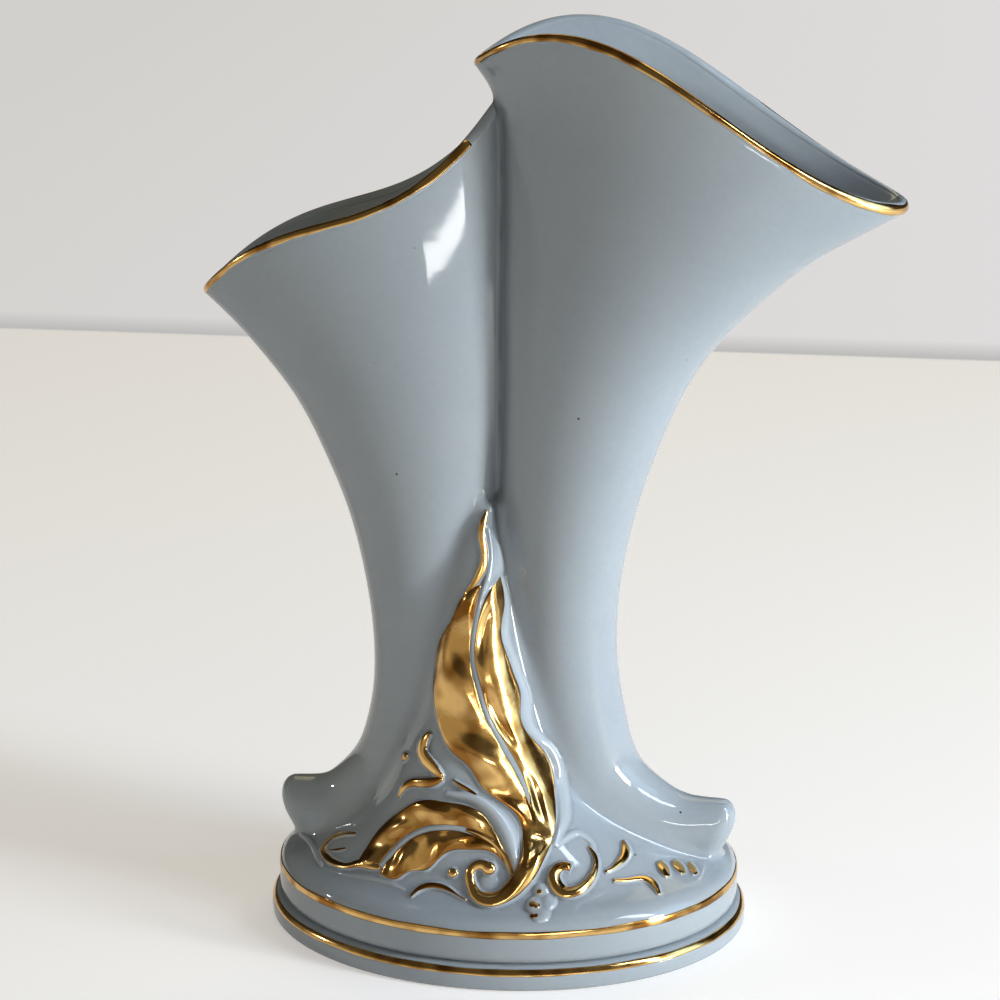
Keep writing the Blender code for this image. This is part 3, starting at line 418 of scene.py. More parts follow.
class VaseSizes(bpy.types.PropertyGroup):
    """Sizes that a potter would choose."""

    wall: FloatProperty(name="Wall", description="Thickness of the horns' walls", default=3.6 * MM,
                        unit="LENGTH", precision=4)
    lip_radius: FloatProperty(name="Lip radius", description="Radius of the round lips", default=1.5 * MM,
                              unit="LENGTH", precision=4)
    gilt: FloatProperty(name="Gilding", description="How far the gold stands off the glaze", default=0.1 * MM,
                        unit="LENGTH", precision=5)
    voxel: FloatProperty(name="Cell", description="Edge of the cells in which the body is joined",
                         default=1.12 * MM, unit="LENGTH", precision=5)
    valley: FloatProperty(name="Valley", description="Reach of the soft join between the horns",
                          default=1.2 * MM, unit="LENGTH", precision=4)
    ground_join: FloatProperty(name="Ground join", description="Reach of the soft join of ground and horns",
                               default=4.5 * MM, unit="LENGTH", precision=4)
    foot_join: FloatProperty(name="Foot join", description="Reach of the soft join of ground and foot",
                             default=5 * MM, unit="LENGTH", precision=4)


class VaseColours(bpy.types.PropertyGroup):
    """Colours of the glaze, the gold and the bare clay."""

    glaze: FloatVectorProperty(name="Glaze", description="Glaze where it lies even", subtype="COLOR",
                               default=(0.345, 0.395, 0.45))
    glaze_thin: FloatVectorProperty(name="Thin glaze", description="Glaze where it ran thin", subtype="COLOR",
                                    default=(0.375, 0.42, 0.465))
    # Darker glaze where it pools, which also paints shade in hollows, joins and the valley between the horns
    glaze_pool_and_shade: FloatVectorProperty(name="Pooled glaze and shade", description="Glaze where it pooled in hollows",
                                    subtype="COLOR", default=(0.115, 0.135, 0.165))
    # Paler glaze on the relief's crests
    glaze_crest: FloatVectorProperty(name="Paler crest glaze", description="Glaze on the relief's crests",
                                     subtype="COLOR", default=(0.45, 0.49, 0.53))
    speck: FloatVectorProperty(name="Specks", description="Iron specks in the glaze", subtype="COLOR",
                               default=(0.05, 0.045, 0.04))
    gold: FloatVectorProperty(name="Gold", description="Bright gold", subtype="COLOR",
                              default=(0.76, 0.48, 0.175))
    # Brown gold where it is thin, which also paints shade in the relief's hollows
    gold_thin_and_shade: FloatVectorProperty(name="Thin and shaded gold", description="Gold where it is thin and brown",
                                   subtype="COLOR", default=(0.30, 0.135, 0.03))
    clay: FloatVectorProperty(name="Clay", description="Unglazed clay of the foot ring", subtype="COLOR",
                              default=(0.66, 0.61, 0.53))
    grit: FloatVectorProperty(name="Grit", description="Darker grit in the bare clay", subtype="COLOR",
                              default=(0.35, 0.30, 0.24))


class StageLook(bpy.types.PropertyGroup):
    """Colours and lamp strengths of the stage."""

    table: FloatVectorProperty(name="Table", description="Colour of the table", subtype="COLOR",
                               default=(0.80, 0.79, 0.78))
    table_glow: FloatVectorProperty(name="Table glow", description="Added where it is seen or mirrored",
                                    subtype="COLOR", default=(0.40, 0.387, 0.382))
    wall: FloatVectorProperty(name="Wall", description="Colour beyond the table's far edge, at the left",
                              subtype="COLOR", default=(0.645, 0.63, 0.605))
    wall_right: FloatVectorProperty(name="Wall at right", description="Colour beyond the edge, at the right",
                                    subtype="COLOR", default=(0.80, 0.785, 0.80))
    key: FloatProperty(name="Key lamp", description="Power of the low upright strip at the right",
                       default=6.8, min=0.0)
    high: FloatProperty(name="High lamp", description="Power of the strip above the key",
                        default=2.8, min=0.0)
    side: FloatProperty(name="Side lamp", description="Power of the large soft lamp at the right",
                        default=2.1, min=0.0)
    top: FloatProperty(name="Top lamp", description="Power of the lamp above and behind",
                       default=2.4, min=0.0)
    pane: FloatProperty(name="Pane", description="Power of the narrow light low at the front right",
                        default=0.28, min=0.0)
    spark: FloatProperty(name="Spark", description="Power of the small light at the left",
                         default=0.45, min=0.0)
    room: FloatProperty(name="Room", description="Strength of the pale room low in front",
                        default=0.44, min=0.0)
    air: FloatProperty(name="Air", description="Strength of the light from higher up in front",
                       default=0.10, min=0.0)
    behind: FloatProperty(name="Behind", description="Share of the room's strength that lies behind",
                          default=0.12, min=0.0)


def unit(vectors):
    """Vectors of length one."""
    return vectors / np.maximum(np.linalg.norm(vectors, axis=-1, keepdims=True), 1e-12)


def round_turns(count):
    """Angles spaced evenly once round."""
    return np.linspace(0, 2 * math.pi, count, endpoint=False)


def swell(count, start, power):
    """A half sine between a share of its length from either end, flattened on top by a power below one."""
    return np.sin(np.pi * np.linspace(start, 1 - start, count))**power


def spline(knots, values, at):
    """Natural cubic spline through the values at the knots, read at the given places."""
    knots, values, at = np.asarray(knots, float), np.asarray(values, float), np.asarray(at, float)
    step = np.diff(knots)
    count = len(knots)
    left = np.eye(count)
    inner = np.arange(1, count - 1)
    left[inner, inner - 1] = step[:-1]
    left[inner, inner] = 2 * (step[:-1] + step[1:])
    left[inner, inner + 1] = step[1:]
    right = np.zeros_like(values)
    slope = np.diff(values, axis=0) / step[:, None]
    right[1:-1] = 6 * np.diff(slope, axis=0)
    bend = np.linalg.solve(left, right)
    i = np.clip(np.searchsorted(knots, at) - 1, 0, count - 2)
    h = step[i][:, None]
    a = (knots[i + 1] - at)[:, None] / h
    b = 1 - a
    return a * values[i] + b * values[i + 1] + ((a**3 - a) * bend[i] + (b**3 - b) * bend[i + 1]) * h * h / 6


def rows_through(stations, count, measured=4):
    """Rows spaced evenly along a smooth run through the stations, by the length over their first values."""
    stations = np.asarray(stations, float)
    knots = np.concatenate([[0], np.cumsum(np.linalg.norm(np.diff(stations[:, :measured], axis=0), axis=1))])
    return spline(knots, stations, np.linspace(0, knots[-1], count))


def skin(loops, ring=False):
    """Points, quads and triangles of closed loops joined in order.

    A run of loops is closed by a fan of triangles to a pole at each end. A ring joins its last loop to its
    first.
    """
    count, sides, _ = loops.shape
    i, j = np.meshgrid(np.arange(count if ring else count - 1), np.arange(sides), indexing="ij")
    n, k = (i + 1) % count, (j + 1) % sides
    quads = np.stack([i * sides + j, i * sides + k, n * sides + k, n * sides + j], axis=-1).reshape(-1, 4)
    points = loops.reshape(-1, 3)
    triangles = np.zeros((0, 3), int)
    if not ring:
        points = np.vstack([points, loops[0].mean(axis=0), loops[-1].mean(axis=0)])
        j = np.arange(sides)
        k = (j + 1) % sides
        first, last, end = count * sides, count * sides + 1, (count - 1) * sides
        triangles = np.vstack([np.stack([np.full(sides, first), k, j], axis=1),
                               np.stack([np.full(sides, last), end + j, end + k], axis=1)])
    return face_out(points, quads, triangles)


def face_out(points, quads, triangles):
    """The same faces, turned so that the signed volume inside them is above zero."""
    fans = np.vstack([quads[:, [0, 1, 2]], quads[:, [0, 2, 3]], triangles])
    a, b, c = (points[fans[:, n]] for n in range(3))
    if np.sum(a * np.cross(b, c)) < 0:
        return points, quads[:, ::-1], triangles[:, ::-1]
    return points, quads, triangles


def joined(shells):
    """Several shells of points, quads and triangles as one."""
    points, quads, triangles, base = [], [], [], 0
    for shell_points, shell_quads, shell_triangles in shells:
        points.append(shell_points)
        quads.append(shell_quads + base)
        triangles.append(shell_triangles + base)
        base += len(shell_points)
    return np.vstack(points), np.vstack(quads), np.vstack(triangles)


def new_piece(name, shell, finish, nodes=(), normals=None):
    """A smooth-shaded piece at the origin that rides on the vase, with the named CAD nodes hidden."""
    points, quads, triangles = shell
    mesh = bpy.data.meshes.new(name)
    mesh.vertices.add(len(points))
    mesh.vertices.foreach_set("co", np.asarray(points, np.float32).ravel())
    corners = np.concatenate([quads.ravel(), triangles.ravel()]).astype(np.int32)
    mesh.loops.add(len(corners))
    mesh.loops.foreach_set("vertex_index", corners)
    sizes = np.concatenate([np.full(len(quads), 4), np.full(len(triangles), 3)])
    mesh.polygons.add(len(sizes))
    mesh.polygons.foreach_set("loop_start", (np.cumsum(sizes) - sizes).astype(np.int32))
    mesh.update(calc_edges=True)
    mesh.validate()
    mesh.shade_smooth()
    mesh.materials.append(finish)
    if normals is not None:
        mesh.normals_split_custom_set_from_vertices(normals)
    piece = bpy.data.objects.new(name, mesh)
    bpy.context.scene.collection.objects.link(piece)
    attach(piece, "root")
    if nodes:
        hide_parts(*nodes)
    return piece


# Horns


def horn_rings(rows, grow, thicken=0.0):
    """One oval ring for each row: along the chord by the cosine, and y by the sine times the half depth.

    The ring waves above its chord by (1 - cos squared) times (bow + sway times cos), and is deeper by the
    row's last value times cos. It is grown by a length, and thicken draws the right side in by the row's own
    amount.
    """
    angle = round_turns(HORN_SIDES)
    across, through = np.cos(angle), np.sin(angle)
    left, right = rows[:, 0:2], rows[:, 2:4]
    along = unit(right - left)
    left = left - along * grow
    right = right + along * (grow - thicken * rows[:, 7:8])
    middle, half = (left + right) / 2, (right - left) / 2
    wave = (1 - across**2) * (rows[:, 5:6] + rows[:, 6:7] * across)
    x = middle[:, 0:1] + half[:, 0:1] * across
    y = (rows[:, 4:5] * (1 + rows[:, 8:9] * across) + grow) * through
    z = middle[:, 1:2] + half[:, 1:2] * across + wave
    return np.stack([x, y, z], axis=2)


def rounded_end(rings, reach):
    """Rings that close the last one in a half round: size by the cosine, way out by the sine."""
    last = rings[-1]
    middle = last.mean(axis=0)
    out = unit(middle - rings[-END_AIM].mean(axis=0))
    turns = END_TURNS[:, None, None]
    return middle + out * reach * np.sin(turns) + (last - middle) * np.cos(turns)


class Lip:
    """The round lip of a horn: its outer and inner rings and the way that it points."""

    def __init__(self, stations, sizes):
        rows = rows_through(stations, HORN_RINGS)
        edge = horn_rings(rows[:1], 0.0)[0]
        below = horn_rings(rows[LIP_AIM:LIP_AIM + 1], 0.0)[0]
        self.out = unit(edge - below)
        self.outer = edge - self.out * (sizes.lip_radius + sizes.gilt)
        inwards = self.outer.mean(axis=0) - self.outer
        inwards -= self.out * np.sum(inwards * self.out, axis=1, keepdims=True)
        self.inner = self.outer + unit(inwards) * 2 * sizes.lip_radius

    def ring(self, turn, more=0.0):
        """A ring round the lip's half circle: turn 0 lies outside and a quarter turn on the crest."""
        middle, side = (self.outer + self.inner) / 2, (self.outer - self.inner) / 2
        radius = np.linalg.norm(side, axis=1, keepdims=True)
        turn, more = np.reshape(turn, (-1, 1)), np.reshape(more, (-1, 1))
        away = side / radius * np.cos(turn) + self.out * np.sin(turn)
        return middle + away * (radius + more)


def horn_shells(stations, sizes):
    """A horn as a hollow shell with a round lip, and its cavity as a solid."""
    rows = rows_through(stations, HORN_RINGS)
    lip = Lip(stations, sizes)
    outer = horn_rings(rows, 0.0)
    turns = np.linspace(0, math.pi, LIP_STEPS + 1)[1:-1]
    over_lip = np.array([lip.ring(turn) for turn in turns])
    hollow = rows[rows[:, 1:4:2].mean(axis=1) > CAVITY_FLOOR]
    cavity = horn_rings(rows_through(hollow, CAVITY_RINGS)[LIP_SETTLE:], -sizes.wall, 1.0)
    inside = np.concatenate([lip.inner[None], cavity, rounded_end(cavity, sizes.wall)])
    outside = [rounded_end(outer, TAIL_ROUNDING)[::-1], outer[:LIP_SETTLE:-1], lip.outer[None]]
    return skin(np.concatenate([*outside, over_lip, inside])), skin(inside)


# Ground and foot


def ground_shell():
    """Level squarish ovals that shrink and lean in as they rise, sunk a little into the foot."""
    stations = np.asarray(GROUND_SECTIONS)
    rows = spline(stations[:, 0], stations, np.linspace(0, stations[-1, 0], GROUND_RINGS))
    angle = round_turns(HORN_SIDES)
    power = 2 / GROUND_SQUARENESS
    across = np.sign(np.cos(angle)) * np.abs(np.cos(angle))**power
    through = np.sign(np.sin(angle)) * np.abs(np.sin(angle))**power
    x = rows[:, 1:2] + rows[:, 2:3] * across
    y = rows[:, 3:4] * through
    z = FOOT_TOP + rows[:, 0:1] + 0 * across
    rings = np.stack([x, y, z], axis=2)
    sunk = rings[:1] - np.array([0.0, 0.0, GROUND_SINK])
    return skin(np.concatenate([sunk, rings]))


def arc(middle_x, middle_z, radius, start, end, count):
    """Points on an arc, in order from the start angle to the end angle in degrees."""
    turns = np.radians(np.linspace(start, end, count))
    return [(middle_x + radius * math.cos(t), middle_z + radius * math.sin(t)) for t in turns]


def foot_oval(half_length):
    """Places round the foot's oval, by the cosine and the sine, and the unit ways out from it there."""
    angle = round_turns(FOOT_SIDES)
    edge = np.stack([half_length * np.cos(angle), half_length * FOOT_OVAL * np.sin(angle)], axis=1)
    return edge, unit(np.stack([FOOT_OVAL * np.cos(angle), np.sin(angle)], axis=1))


def turned(outline, half_length):
    """An outline of distance out and height, carried round the foot's oval: a loop for each point.

    A point that lies inside the oval's edge by some distance stays that distance inside it, along the edge's
    normal.
    """
    outline = np.asarray(outline, float)
    edge, away = foot_oval(half_length)
    level = edge + away * (outline[:, 0] - half_length)[:, None, None]
    height = np.broadcast_to(outline[:, 1][:, None, None], (*level.shape[:2], 1))
    return np.concatenate([level, height], axis=2)


def step_outline(half_length, bottom, top, shoulder, foot_edge):
    """A step's outline from near the top's middle round the shoulder and the foot edge to the bottom."""
    inner = half_length - FOOT_RING
    over = arc(half_length - shoulder, top - shoulder, shoulder, 90, 0, count=16)
    under = arc(half_length - foot_edge, bottom + foot_edge, foot_edge, 0, -90, count=8)
    return [(inner, top)] + over + under + [(inner, bottom)]


def upper_step_shell():
    """The upper step, reaching down into the lower one so that the two are one body."""
    half = UPPER_STEP[1].x
    outline = step_outline(half, UPPER_STEP[0].z, UPPER_STEP[1].z, UPPER_SHOULDER, UPPER_FOOT_EDGE)
    sunk = [(half - 2 * UPPER_FOOT_EDGE, UPPER_STEP[0].z), (half - 2 * UPPER_FOOT_EDGE, LOWER_STEP[1].z / 2)]
    return skin(turned(outline[:-1] + sunk, half))


def lower_step_loops():
    """The lower step with its bare foot ring and the shallow recess under it."""
    half = LOWER_STEP[1].x
    outline = step_outline(half, 0.0, LOWER_STEP[1].z, LOWER_SHOULDER, LOWER_FOOT_EDGE)
    recess = arc(half - FOOT_RING, FOOT_RECESS / 2, FOOT_RECESS / 2, -90, -170, count=5)
    return turned(outline + recess[1:] + [(half - FOOT_RING - FOOT_RECESS, FOOT_RECESS)], half)


# The body, joined as distances in a grid of cells


class Volume:
    """Signed distances on a regular grid of cells, below zero inside."""

    def __init__(self, values, corner, step):
        self.values, self.corner, self.step = values, corner, step

    def at(self, points):
        """Distances at the points, linear between the cells' corners."""
        place = (points - self.corner) / self.step
        place = np.clip(place, 0, np.array(self.values.shape) - 1.001)
        cell = place.astype(int)
        share = place - cell
        total = np.zeros(len(points))
        for corner in np.ndindex(2, 2, 2):
            weight = np.prod(np.where(corner, share, 1 - share), axis=1)
            total += weight * self.values[tuple((cell + corner).T)]
        return total

    def slope(self, points):
        """The unit direction in which the distance grows."""
        ways = np.eye(3) * self.step * SLOPE_REACH
        return unit(np.stack([self.at(points + way) - self.at(points - way) for way in ways], axis=1))


def distances(shell, corner, shape, step):
    """The signed distance to a closed shell at every cell of a grid, up to a few cells away."""
    points, quads, triangles = shell
    grid = openvdb.FloatGrid.createLevelSetFromPolygons(
        ((points - corner) / step).astype(np.float32), triangles=triangles.astype(np.uint32),
        quads=quads.astype(np.uint32), halfWidth=BAND_REACH)
    values = np.zeros(shape, np.float32)
    grid.copyToArray(values, ijk=(0, 0, 0))
    return values * step


def soft_join(a, b, reach):
    """The nearer of two distances, less a parabola that rounds the crease where they are nearly alike.

    It is a quarter of the reach times the square of one less their difference over the reach.
    """
    near = np.clip(reach - np.abs(a - b), 0, None) / reach
    return np.minimum(a, b) - near**2 * reach / 4


class Body:
    """The glazed body: the two hollow horns, the ground and the upper step joined softly into one form."""

    def __init__(self, sizes):
        step = sizes.voxel
        corners = np.array([[*corner] for node in BODY_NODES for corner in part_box(node)])
        low, high = corners.min(axis=0) - BODY_MARGIN, corners.max(axis=0) + BODY_MARGIN
        shape = tuple(np.ceil((high - low) / step).astype(int))
        tall, tall_cavity = horn_shells(TALL_HORN, sizes)
        short, short_cavity = horn_shells(SHORT_HORN, sizes)
        away = functools.partial(distances, corner=low, shape=shape, step=step)
        tall_away, short_away, ground_away, foot_away = (
            away(shell) for shell in (tall, short, ground_shell(), upper_step_shell()))
        hard = np.minimum(np.minimum(tall_away, short_away), np.minimum(ground_away, foot_away))
        form = soft_join(tall_away, short_away, sizes.valley)
        form = soft_join(form, ground_away, sizes.ground_join)
        form = soft_join(form, foot_away, sizes.foot_join)
        self.filled = Volume(hard - form, low, step)
        self.apart = Volume(np.abs(tall_away - short_away), low, step)
        for cavity in (tall_cavity, short_cavity):
            form = np.maximum(form, -away(cavity))
        self.form = Volume(form, low, step)

    def mesh(self):
        """The surface at distance zero, its points drawn on to it along the slope, and the normals there."""
        step, low = self.form.step, self.form.corner
        grid = openvdb.FloatGrid(BAND_REACH * step)
        grid.copyFromArray(self.form.values)
        points, triangles, quads = grid.convertToPolygons(isovalue=0.0, adaptivity=0.0)
        points = points * step + low
        for _ in range(SURFACE_PASSES):
            points = points - self.form.slope(points) * self.form.at(points)[:, None]
        points, quads, triangles = face_out(points, quads.astype(int), triangles.astype(int))
        return (points, quads, triangles), self.form.slope(points)


@functools.lru_cache(maxsize=1)
def vase_body():
    """The body from the scene's sizes, made once."""
    return Body(bpy.context.scene.vase_sizes)


# The relief, drawn on a sheet that leans back and laid on the body


class Sheet:
    """Values on an even grid over the sheet, read smoothly in between."""

    def __init__(self, cell, values=None):
        self.cell = cell
        shape = np.ceil((SHEET_HIGH - SHEET_LOW) / cell).astype(int) + 1
        self.values = np.zeros(shape) if values is None else values

    def places(self):
        """The place of every cell."""
        steps = (SHEET_LOW[n] + self.cell * np.arange(self.values.shape[n]) for n in range(2))
        return np.stack(np.meshgrid(*steps, indexing="ij"), axis=-1)

    def softened(self, times):
        """The same sheet blurred that many times by one, two, one along both ways."""
        values = self.values
        for _ in range(times):
            for axis in range(2):
                first, last = np.take(values, [0], axis), np.take(values, [-1], axis)
                before = np.concatenate([first, np.delete(values, -1, axis)], axis)
                after = np.concatenate([np.delete(values, 0, axis), last], axis)
                values = (before + 2 * values + after) / 4
        return Sheet(self.cell, values)

    def at(self, places):
        """Values at the places, by cubics through the four nearest cells each way."""
        spot = (np.asarray(places, float) - SHEET_LOW) / self.cell
        spot = np.clip(spot, 1, np.array(self.values.shape) - 2.001)
        cell = spot.astype(int)
        share = spot - cell
        square, cube = share**2, share**3
        weights = np.stack([-share + 2 * square - cube, 2 - 5 * square + 3 * cube,
                            share + 4 * square - 3 * cube, cube - square]) / 2
        total = np.zeros(share.shape[:-1])
        for i, j in np.ndindex(4, 4):
            value = self.values[cell[..., 0] + i - 1, cell[..., 1] + j - 1]
            total += weights[i, ..., 0] * weights[j, ..., 1] * value
        return total

    def raise_to(self, places, heights):
        """Lift the cells under the places to the heights where they lie lower."""
        cell = np.rint((places - SHEET_LOW) / self.cell).astype(int).reshape(-1, 2)
        cell = np.clip(cell, 0, np.array(self.values.shape) - 1)
        np.maximum.at(self.values, tuple(cell.T), np.broadcast_to(heights, places.shape[:-1]).ravel())


def on_sheet(places, height):
    """Points at a height above places on the sheet."""
    across = places[..., 0, None] * np.array([1.0, 0.0, 0.0])
    return across + places[..., 1, None] * SHEET_UP + np.asarray(height)[..., None] * SHEET_OUT


def sheet_places(points):
    """The places on the sheet straight below points."""
    return np.stack([points[:, 0], points @ SHEET_UP], axis=1)


def ground_sheet(form):
    """The body's front above the sheet, found by walking down from above it by the distance still to go."""
    sheet = Sheet(GROUND_CELL)
    places = sheet.places().reshape(-1, 2)
    height = np.full(len(places), GROUND_START)
    for _ in range(GROUND_STEPS):
        height = np.maximum(height - CAREFUL_STEP * form.at(on_sheet(places, height)), GROUND_END)
    sheet.values = height.reshape(sheet.values.shape)
    return sheet.softened(GROUND_SOFTNESS)


def places_through(table, count):
    """Rows of a table in millimetres, spaced evenly along a smooth path through its places."""
    return rows_through(np.asarray(table, float) * MM, count, 2)


def sideways(path):
    """Unit vectors on the sheet, to the left of the way a path runs."""
    along = unit(np.gradient(path[:, :2], axis=0))
    return np.stack([-along[:, 1], along[:, 0]], axis=1)


def rows_for(table):
    """How many rows a path of that table takes at the fineness of the gold."""
    table = np.asarray(table, float) * MM
    return max(LEAST_ROWS, round(np.linalg.norm(np.diff(table[:, :2], axis=0), axis=1).sum() / GOLD_STEP))


def across_path(path, reach, shares):
    """Places beside a path: each share across, from -1 to 1, times the reach at that row."""
    return path[:, None, :2] + sideways(path)[:, None, :] * (shares[None, :, None] * reach[:, None, None])


def wavering(count, size, start):
    """A brush's uneven edge: three sines of the row's number, of odd lengths."""
    row = np.arange(count)
    waves = np.sin(row / 5.1 + start) + 0.7 * np.sin(row / 11.3 + 2 * start) + 0.4 * np.sin(row / 2.7 + start)
    return size * waves


class Blade:
    """One blade of a leaf, between the edge of its vein and its own outer edge."""

    def __init__(self, vein, counted, edge, side, look):
        rows = rows_for(edge)
        vein = places_through(vein, VEIN_ROWS)
        near = vein[:, :2] + sideways(vein) * side * vein[:, 2:3]
        near = near[counted(vein)]
        self.near, self.far = rows_through(near, rows, 2), places_through(edge, rows)[:, :2]
        self.width = np.linalg.norm(self.far - self.near, axis=1)
        self.look = look

    def spot(self, along, across):
        """Places at shares along the blade, and at each of them at its own shares across."""
        row = np.clip(along, 0, 1) * (len(self.near) - 1)
        low = np.minimum(row.astype(int), len(self.near) - 2)
        part = (row - low)[:, None]
        near = self.near[low] * (1 - part) + self.near[low + 1] * part
        far = self.far[low] * (1 - part) + self.far[low + 1] * part
        return near[:, None, :] + (far - near)[:, None, :] * across[..., None]

    def width_at(self, along):
        """The blade's width at shares along it."""
        return np.interp(along, np.linspace(0, 1, len(self.width)), self.width)

    def height(self, along, across):
        """Height over the ground: a rolled edge, a crown, slanting ripples and a trough that comes and goes.

        The edge is a quarter round. The crown is a sine of the share across, flattened by a power. The
        ripples are a sine along the blade that runs ahead towards the edge. The trough is a bell a little way
        from the vein, as deep as a second sine along the blade says. All of it falls by a half cosine at the
        blade's foot.
        """
        edge, crown, ripple, number, lead, phase, trough, trough_phase = self.look
        t, s = along[:, None], across[None, :]
        width = self.width_at(along)[:, None]
        inward = np.clip((width * (1 - s) + BED_MARGIN) / EDGE_ROLL, 0, 1)
        roll = np.sqrt(1 - (1 - inward)**2)
        inside = np.clip(s, 0, 1)
        arch = np.sin(np.pi * inside)**0.8
        full = np.clip(width / BROAD_BLADE, NARROW_FORM, 1)
        ripples = ripple * np.sin(2 * np.pi * (number * t + lead * inside) + phase) * arch
        depth = trough * (TROUGH_MEAN + (1 - TROUGH_MEAN) * np.sin(2 * np.pi * number * t + trough_phase))
        hollow = depth * np.exp(-((inside * width - TROUGH_PLACE) / TROUGH_REACH)**2)
        falling = np.clip((t - 1 + BLADE_FALL) / BLADE_FALL, 0, 1)
        fall = 1 - FALL_DEPTH + FALL_DEPTH * np.cos(np.pi * falling)
        return roll * fall * (edge + full * (crown * arch + ripples - hollow)) * MM


class Relief:
    """The whole relief: the ground under it and the height over that ground."""

    def __init__(self, body, sizes):
        self.ground = ground_sheet(body.form)
        self.gilt = sizes.gilt
        self.blades = {name: Blade(*recipe) for name, recipe in BLADES.items()}
        raised, cut = Sheet(RELIEF_CELL), Sheet(RELIEF_CELL)
        along = np.linspace(0, 1, BLADE_ROWS)
        for blade in self.blades.values():
            beyond = 1 + BED_MARGIN / np.maximum(blade.width_at(along), 1 * MM)
            across = np.linspace(0, beyond.max(), BLADE_COLUMNS)
            heights = blade.height(along, across)
            places = blade.spot(along, np.broadcast_to(across, heights.shape))
            raised.raise_to(places, heights)
        for name, table in STROKES.items():
            rise = VOLUTE_RISE if name == "tall_leaf_volute" else 0.0
            self.raise_ridge(raised, table, None, BED_MARGIN, rise)
        for table, crown in GLAZED_RIDGES:
            self.raise_ridge(raised, table, crown * MM, 0.0)
        self.raise_ridge(raised, border_table(), BORDER_CROWN, 0.0)
        for x, up, radius, height in (*BEADS.values(), *GLAZED_DOMES):
            self.raise_dome(raised, x, up, radius + BED_MARGIN / MM, height)
        self.raise_ridge(cut, VOLUTE_GROOVE, GROOVE_DEPTH, 0.0)
        raised.values = np.clip(raised.values - cut.softened(SOFTNESS).values, 0, None)
        self.over = raised.softened(SOFTNESS)
        self.wide = self.over.softened(POOL_REACH)
        away = np.linalg.norm(raised.places() - KNOT, axis=-1)
        near = np.clip((1 - away / KNOT_REACH) / KNOT_EASE, 0, 1)
        softer = self.wide.softened(KNOT_SOFTNESS).values
        self.over.values += near**2 * (3 - 2 * near) * (softer - self.over.values)

    @staticmethod
    def raise_ridge(sheet, table, crown, margin, rise=0.0):
        """A ridge: its crown times a power of one less the square of the share across.

        The crown is lower where the ridge is narrower, and without a crown its height goes by its half width.
        A rise is the share of its length over which it climbs to that from a part of it, by a half cosine.
        """
        path = places_through(table, 4 * rows_for(table))
        reach = path[:, 2] + margin
        shares = np.linspace(-1, 1, RIDGE_COLUMNS)
        if crown is None:
            top = STROKE_HEIGHT * path[:, 2] + MARGIN_HEIGHT * margin
        else:
            top = crown * np.clip(reach / reach.max(), 0, 1)**END_ROUNDNESS
        if rise:
            climbed = np.clip(np.linspace(0, 1, len(path)) / rise, 0, 1)
            top = top * (RISE_START + (1 - RISE_START) * (0.5 - 0.5 * np.cos(np.pi * climbed)))
        heights = top[:, None] * (1 - shares[None, :]**2)**ROUNDNESS
        sheet.raise_to(across_path(path, reach, shares), heights)

    @staticmethod
    def raise_dome(sheet, x, up, radius, height):
        """A dome: its height times a power of one less the square of the share out."""
        shares, turns = np.linspace(0, 1, DOME_RINGS), np.linspace(0, 2 * math.pi, DOME_SIDES)
        out, turn = np.meshgrid(shares, turns, indexing="ij")
        ways = np.stack([np.cos(turn), np.sin(turn)], axis=-1)
        places = np.array([x, up]) * MM + ways * (out * radius * MM)[..., None]
        sheet.raise_to(places, height * MM * (1 - out**2)**ROUNDNESS)

    def surface(self, places, lift=0.0):
        """Points on the relief over the places, lifted off it along the sheet's normal."""
        return on_sheet(places, self.ground.at(places) + self.over.at(places) + lift)

    def gilded(self, places):
        """A closed shell of gold over a grid of places, and how near its points lie to its rim.

        It is thin at its rim, with its back sunk in the glaze.
        """
        rows, columns = places.shape[:2]
        full = swell(columns, 0.06, 0.4)[None, :] * swell(rows, 0.03, 0.25)[:, None]
        face = self.surface(places, self.gilt * (RIM_GILT + (1 - RIM_GILT) * full))
        back = self.surface(places[:, ::-1], -GILT_SINK * self.gilt)
        near_rim = np.concatenate([1 - full, np.ones_like(full)], axis=1)
        return skin(np.concatenate([face, back], axis=1)), np.append(near_rim.ravel(), [1.0, 1.0])

    def gilded_disc(self, x, up, radius):
        """A closed shell of gold over a round place, and how near its points lie to its rim.

        It thins towards its rim by the fourth power of the share out.
        """
        turn = round_turns(DISC_SIDES)
        out = np.linspace(0.1, 1, DISC_RINGS)
        ways = np.stack([np.cos(turn), np.sin(turn)], axis=-1)
        places = np.array([x, up]) * MM + ways[None] * (out * radius * MM)[:, None, None]
        face = self.surface(places, self.gilt * (1 - (1 - RIM_GILT) * out**4)[:, None])
        near_rim = np.repeat(np.concatenate([0.5 * out**4, np.ones_like(out)]), len(turn))
        back = self.surface(places[::-1], -GILT_SINK * self.gilt)
        return skin(np.concatenate([face, back])), np.append(near_rim, [0.0, 1.0])

    def stroke(self, name):
        """The gold of a stroke, as wide as its table says but for the brush's wavering."""
        path = places_through(STROKES[name], rows_for(STROKES[name]))
        reach = np.maximum(path[:, 2] + wavering(len(path), BRUSH_WAVER, len(name)), LEAST_STROKE)
        return self.gilded(across_path(path, reach, np.linspace(-1, 1, STROKE_COLUMNS)))

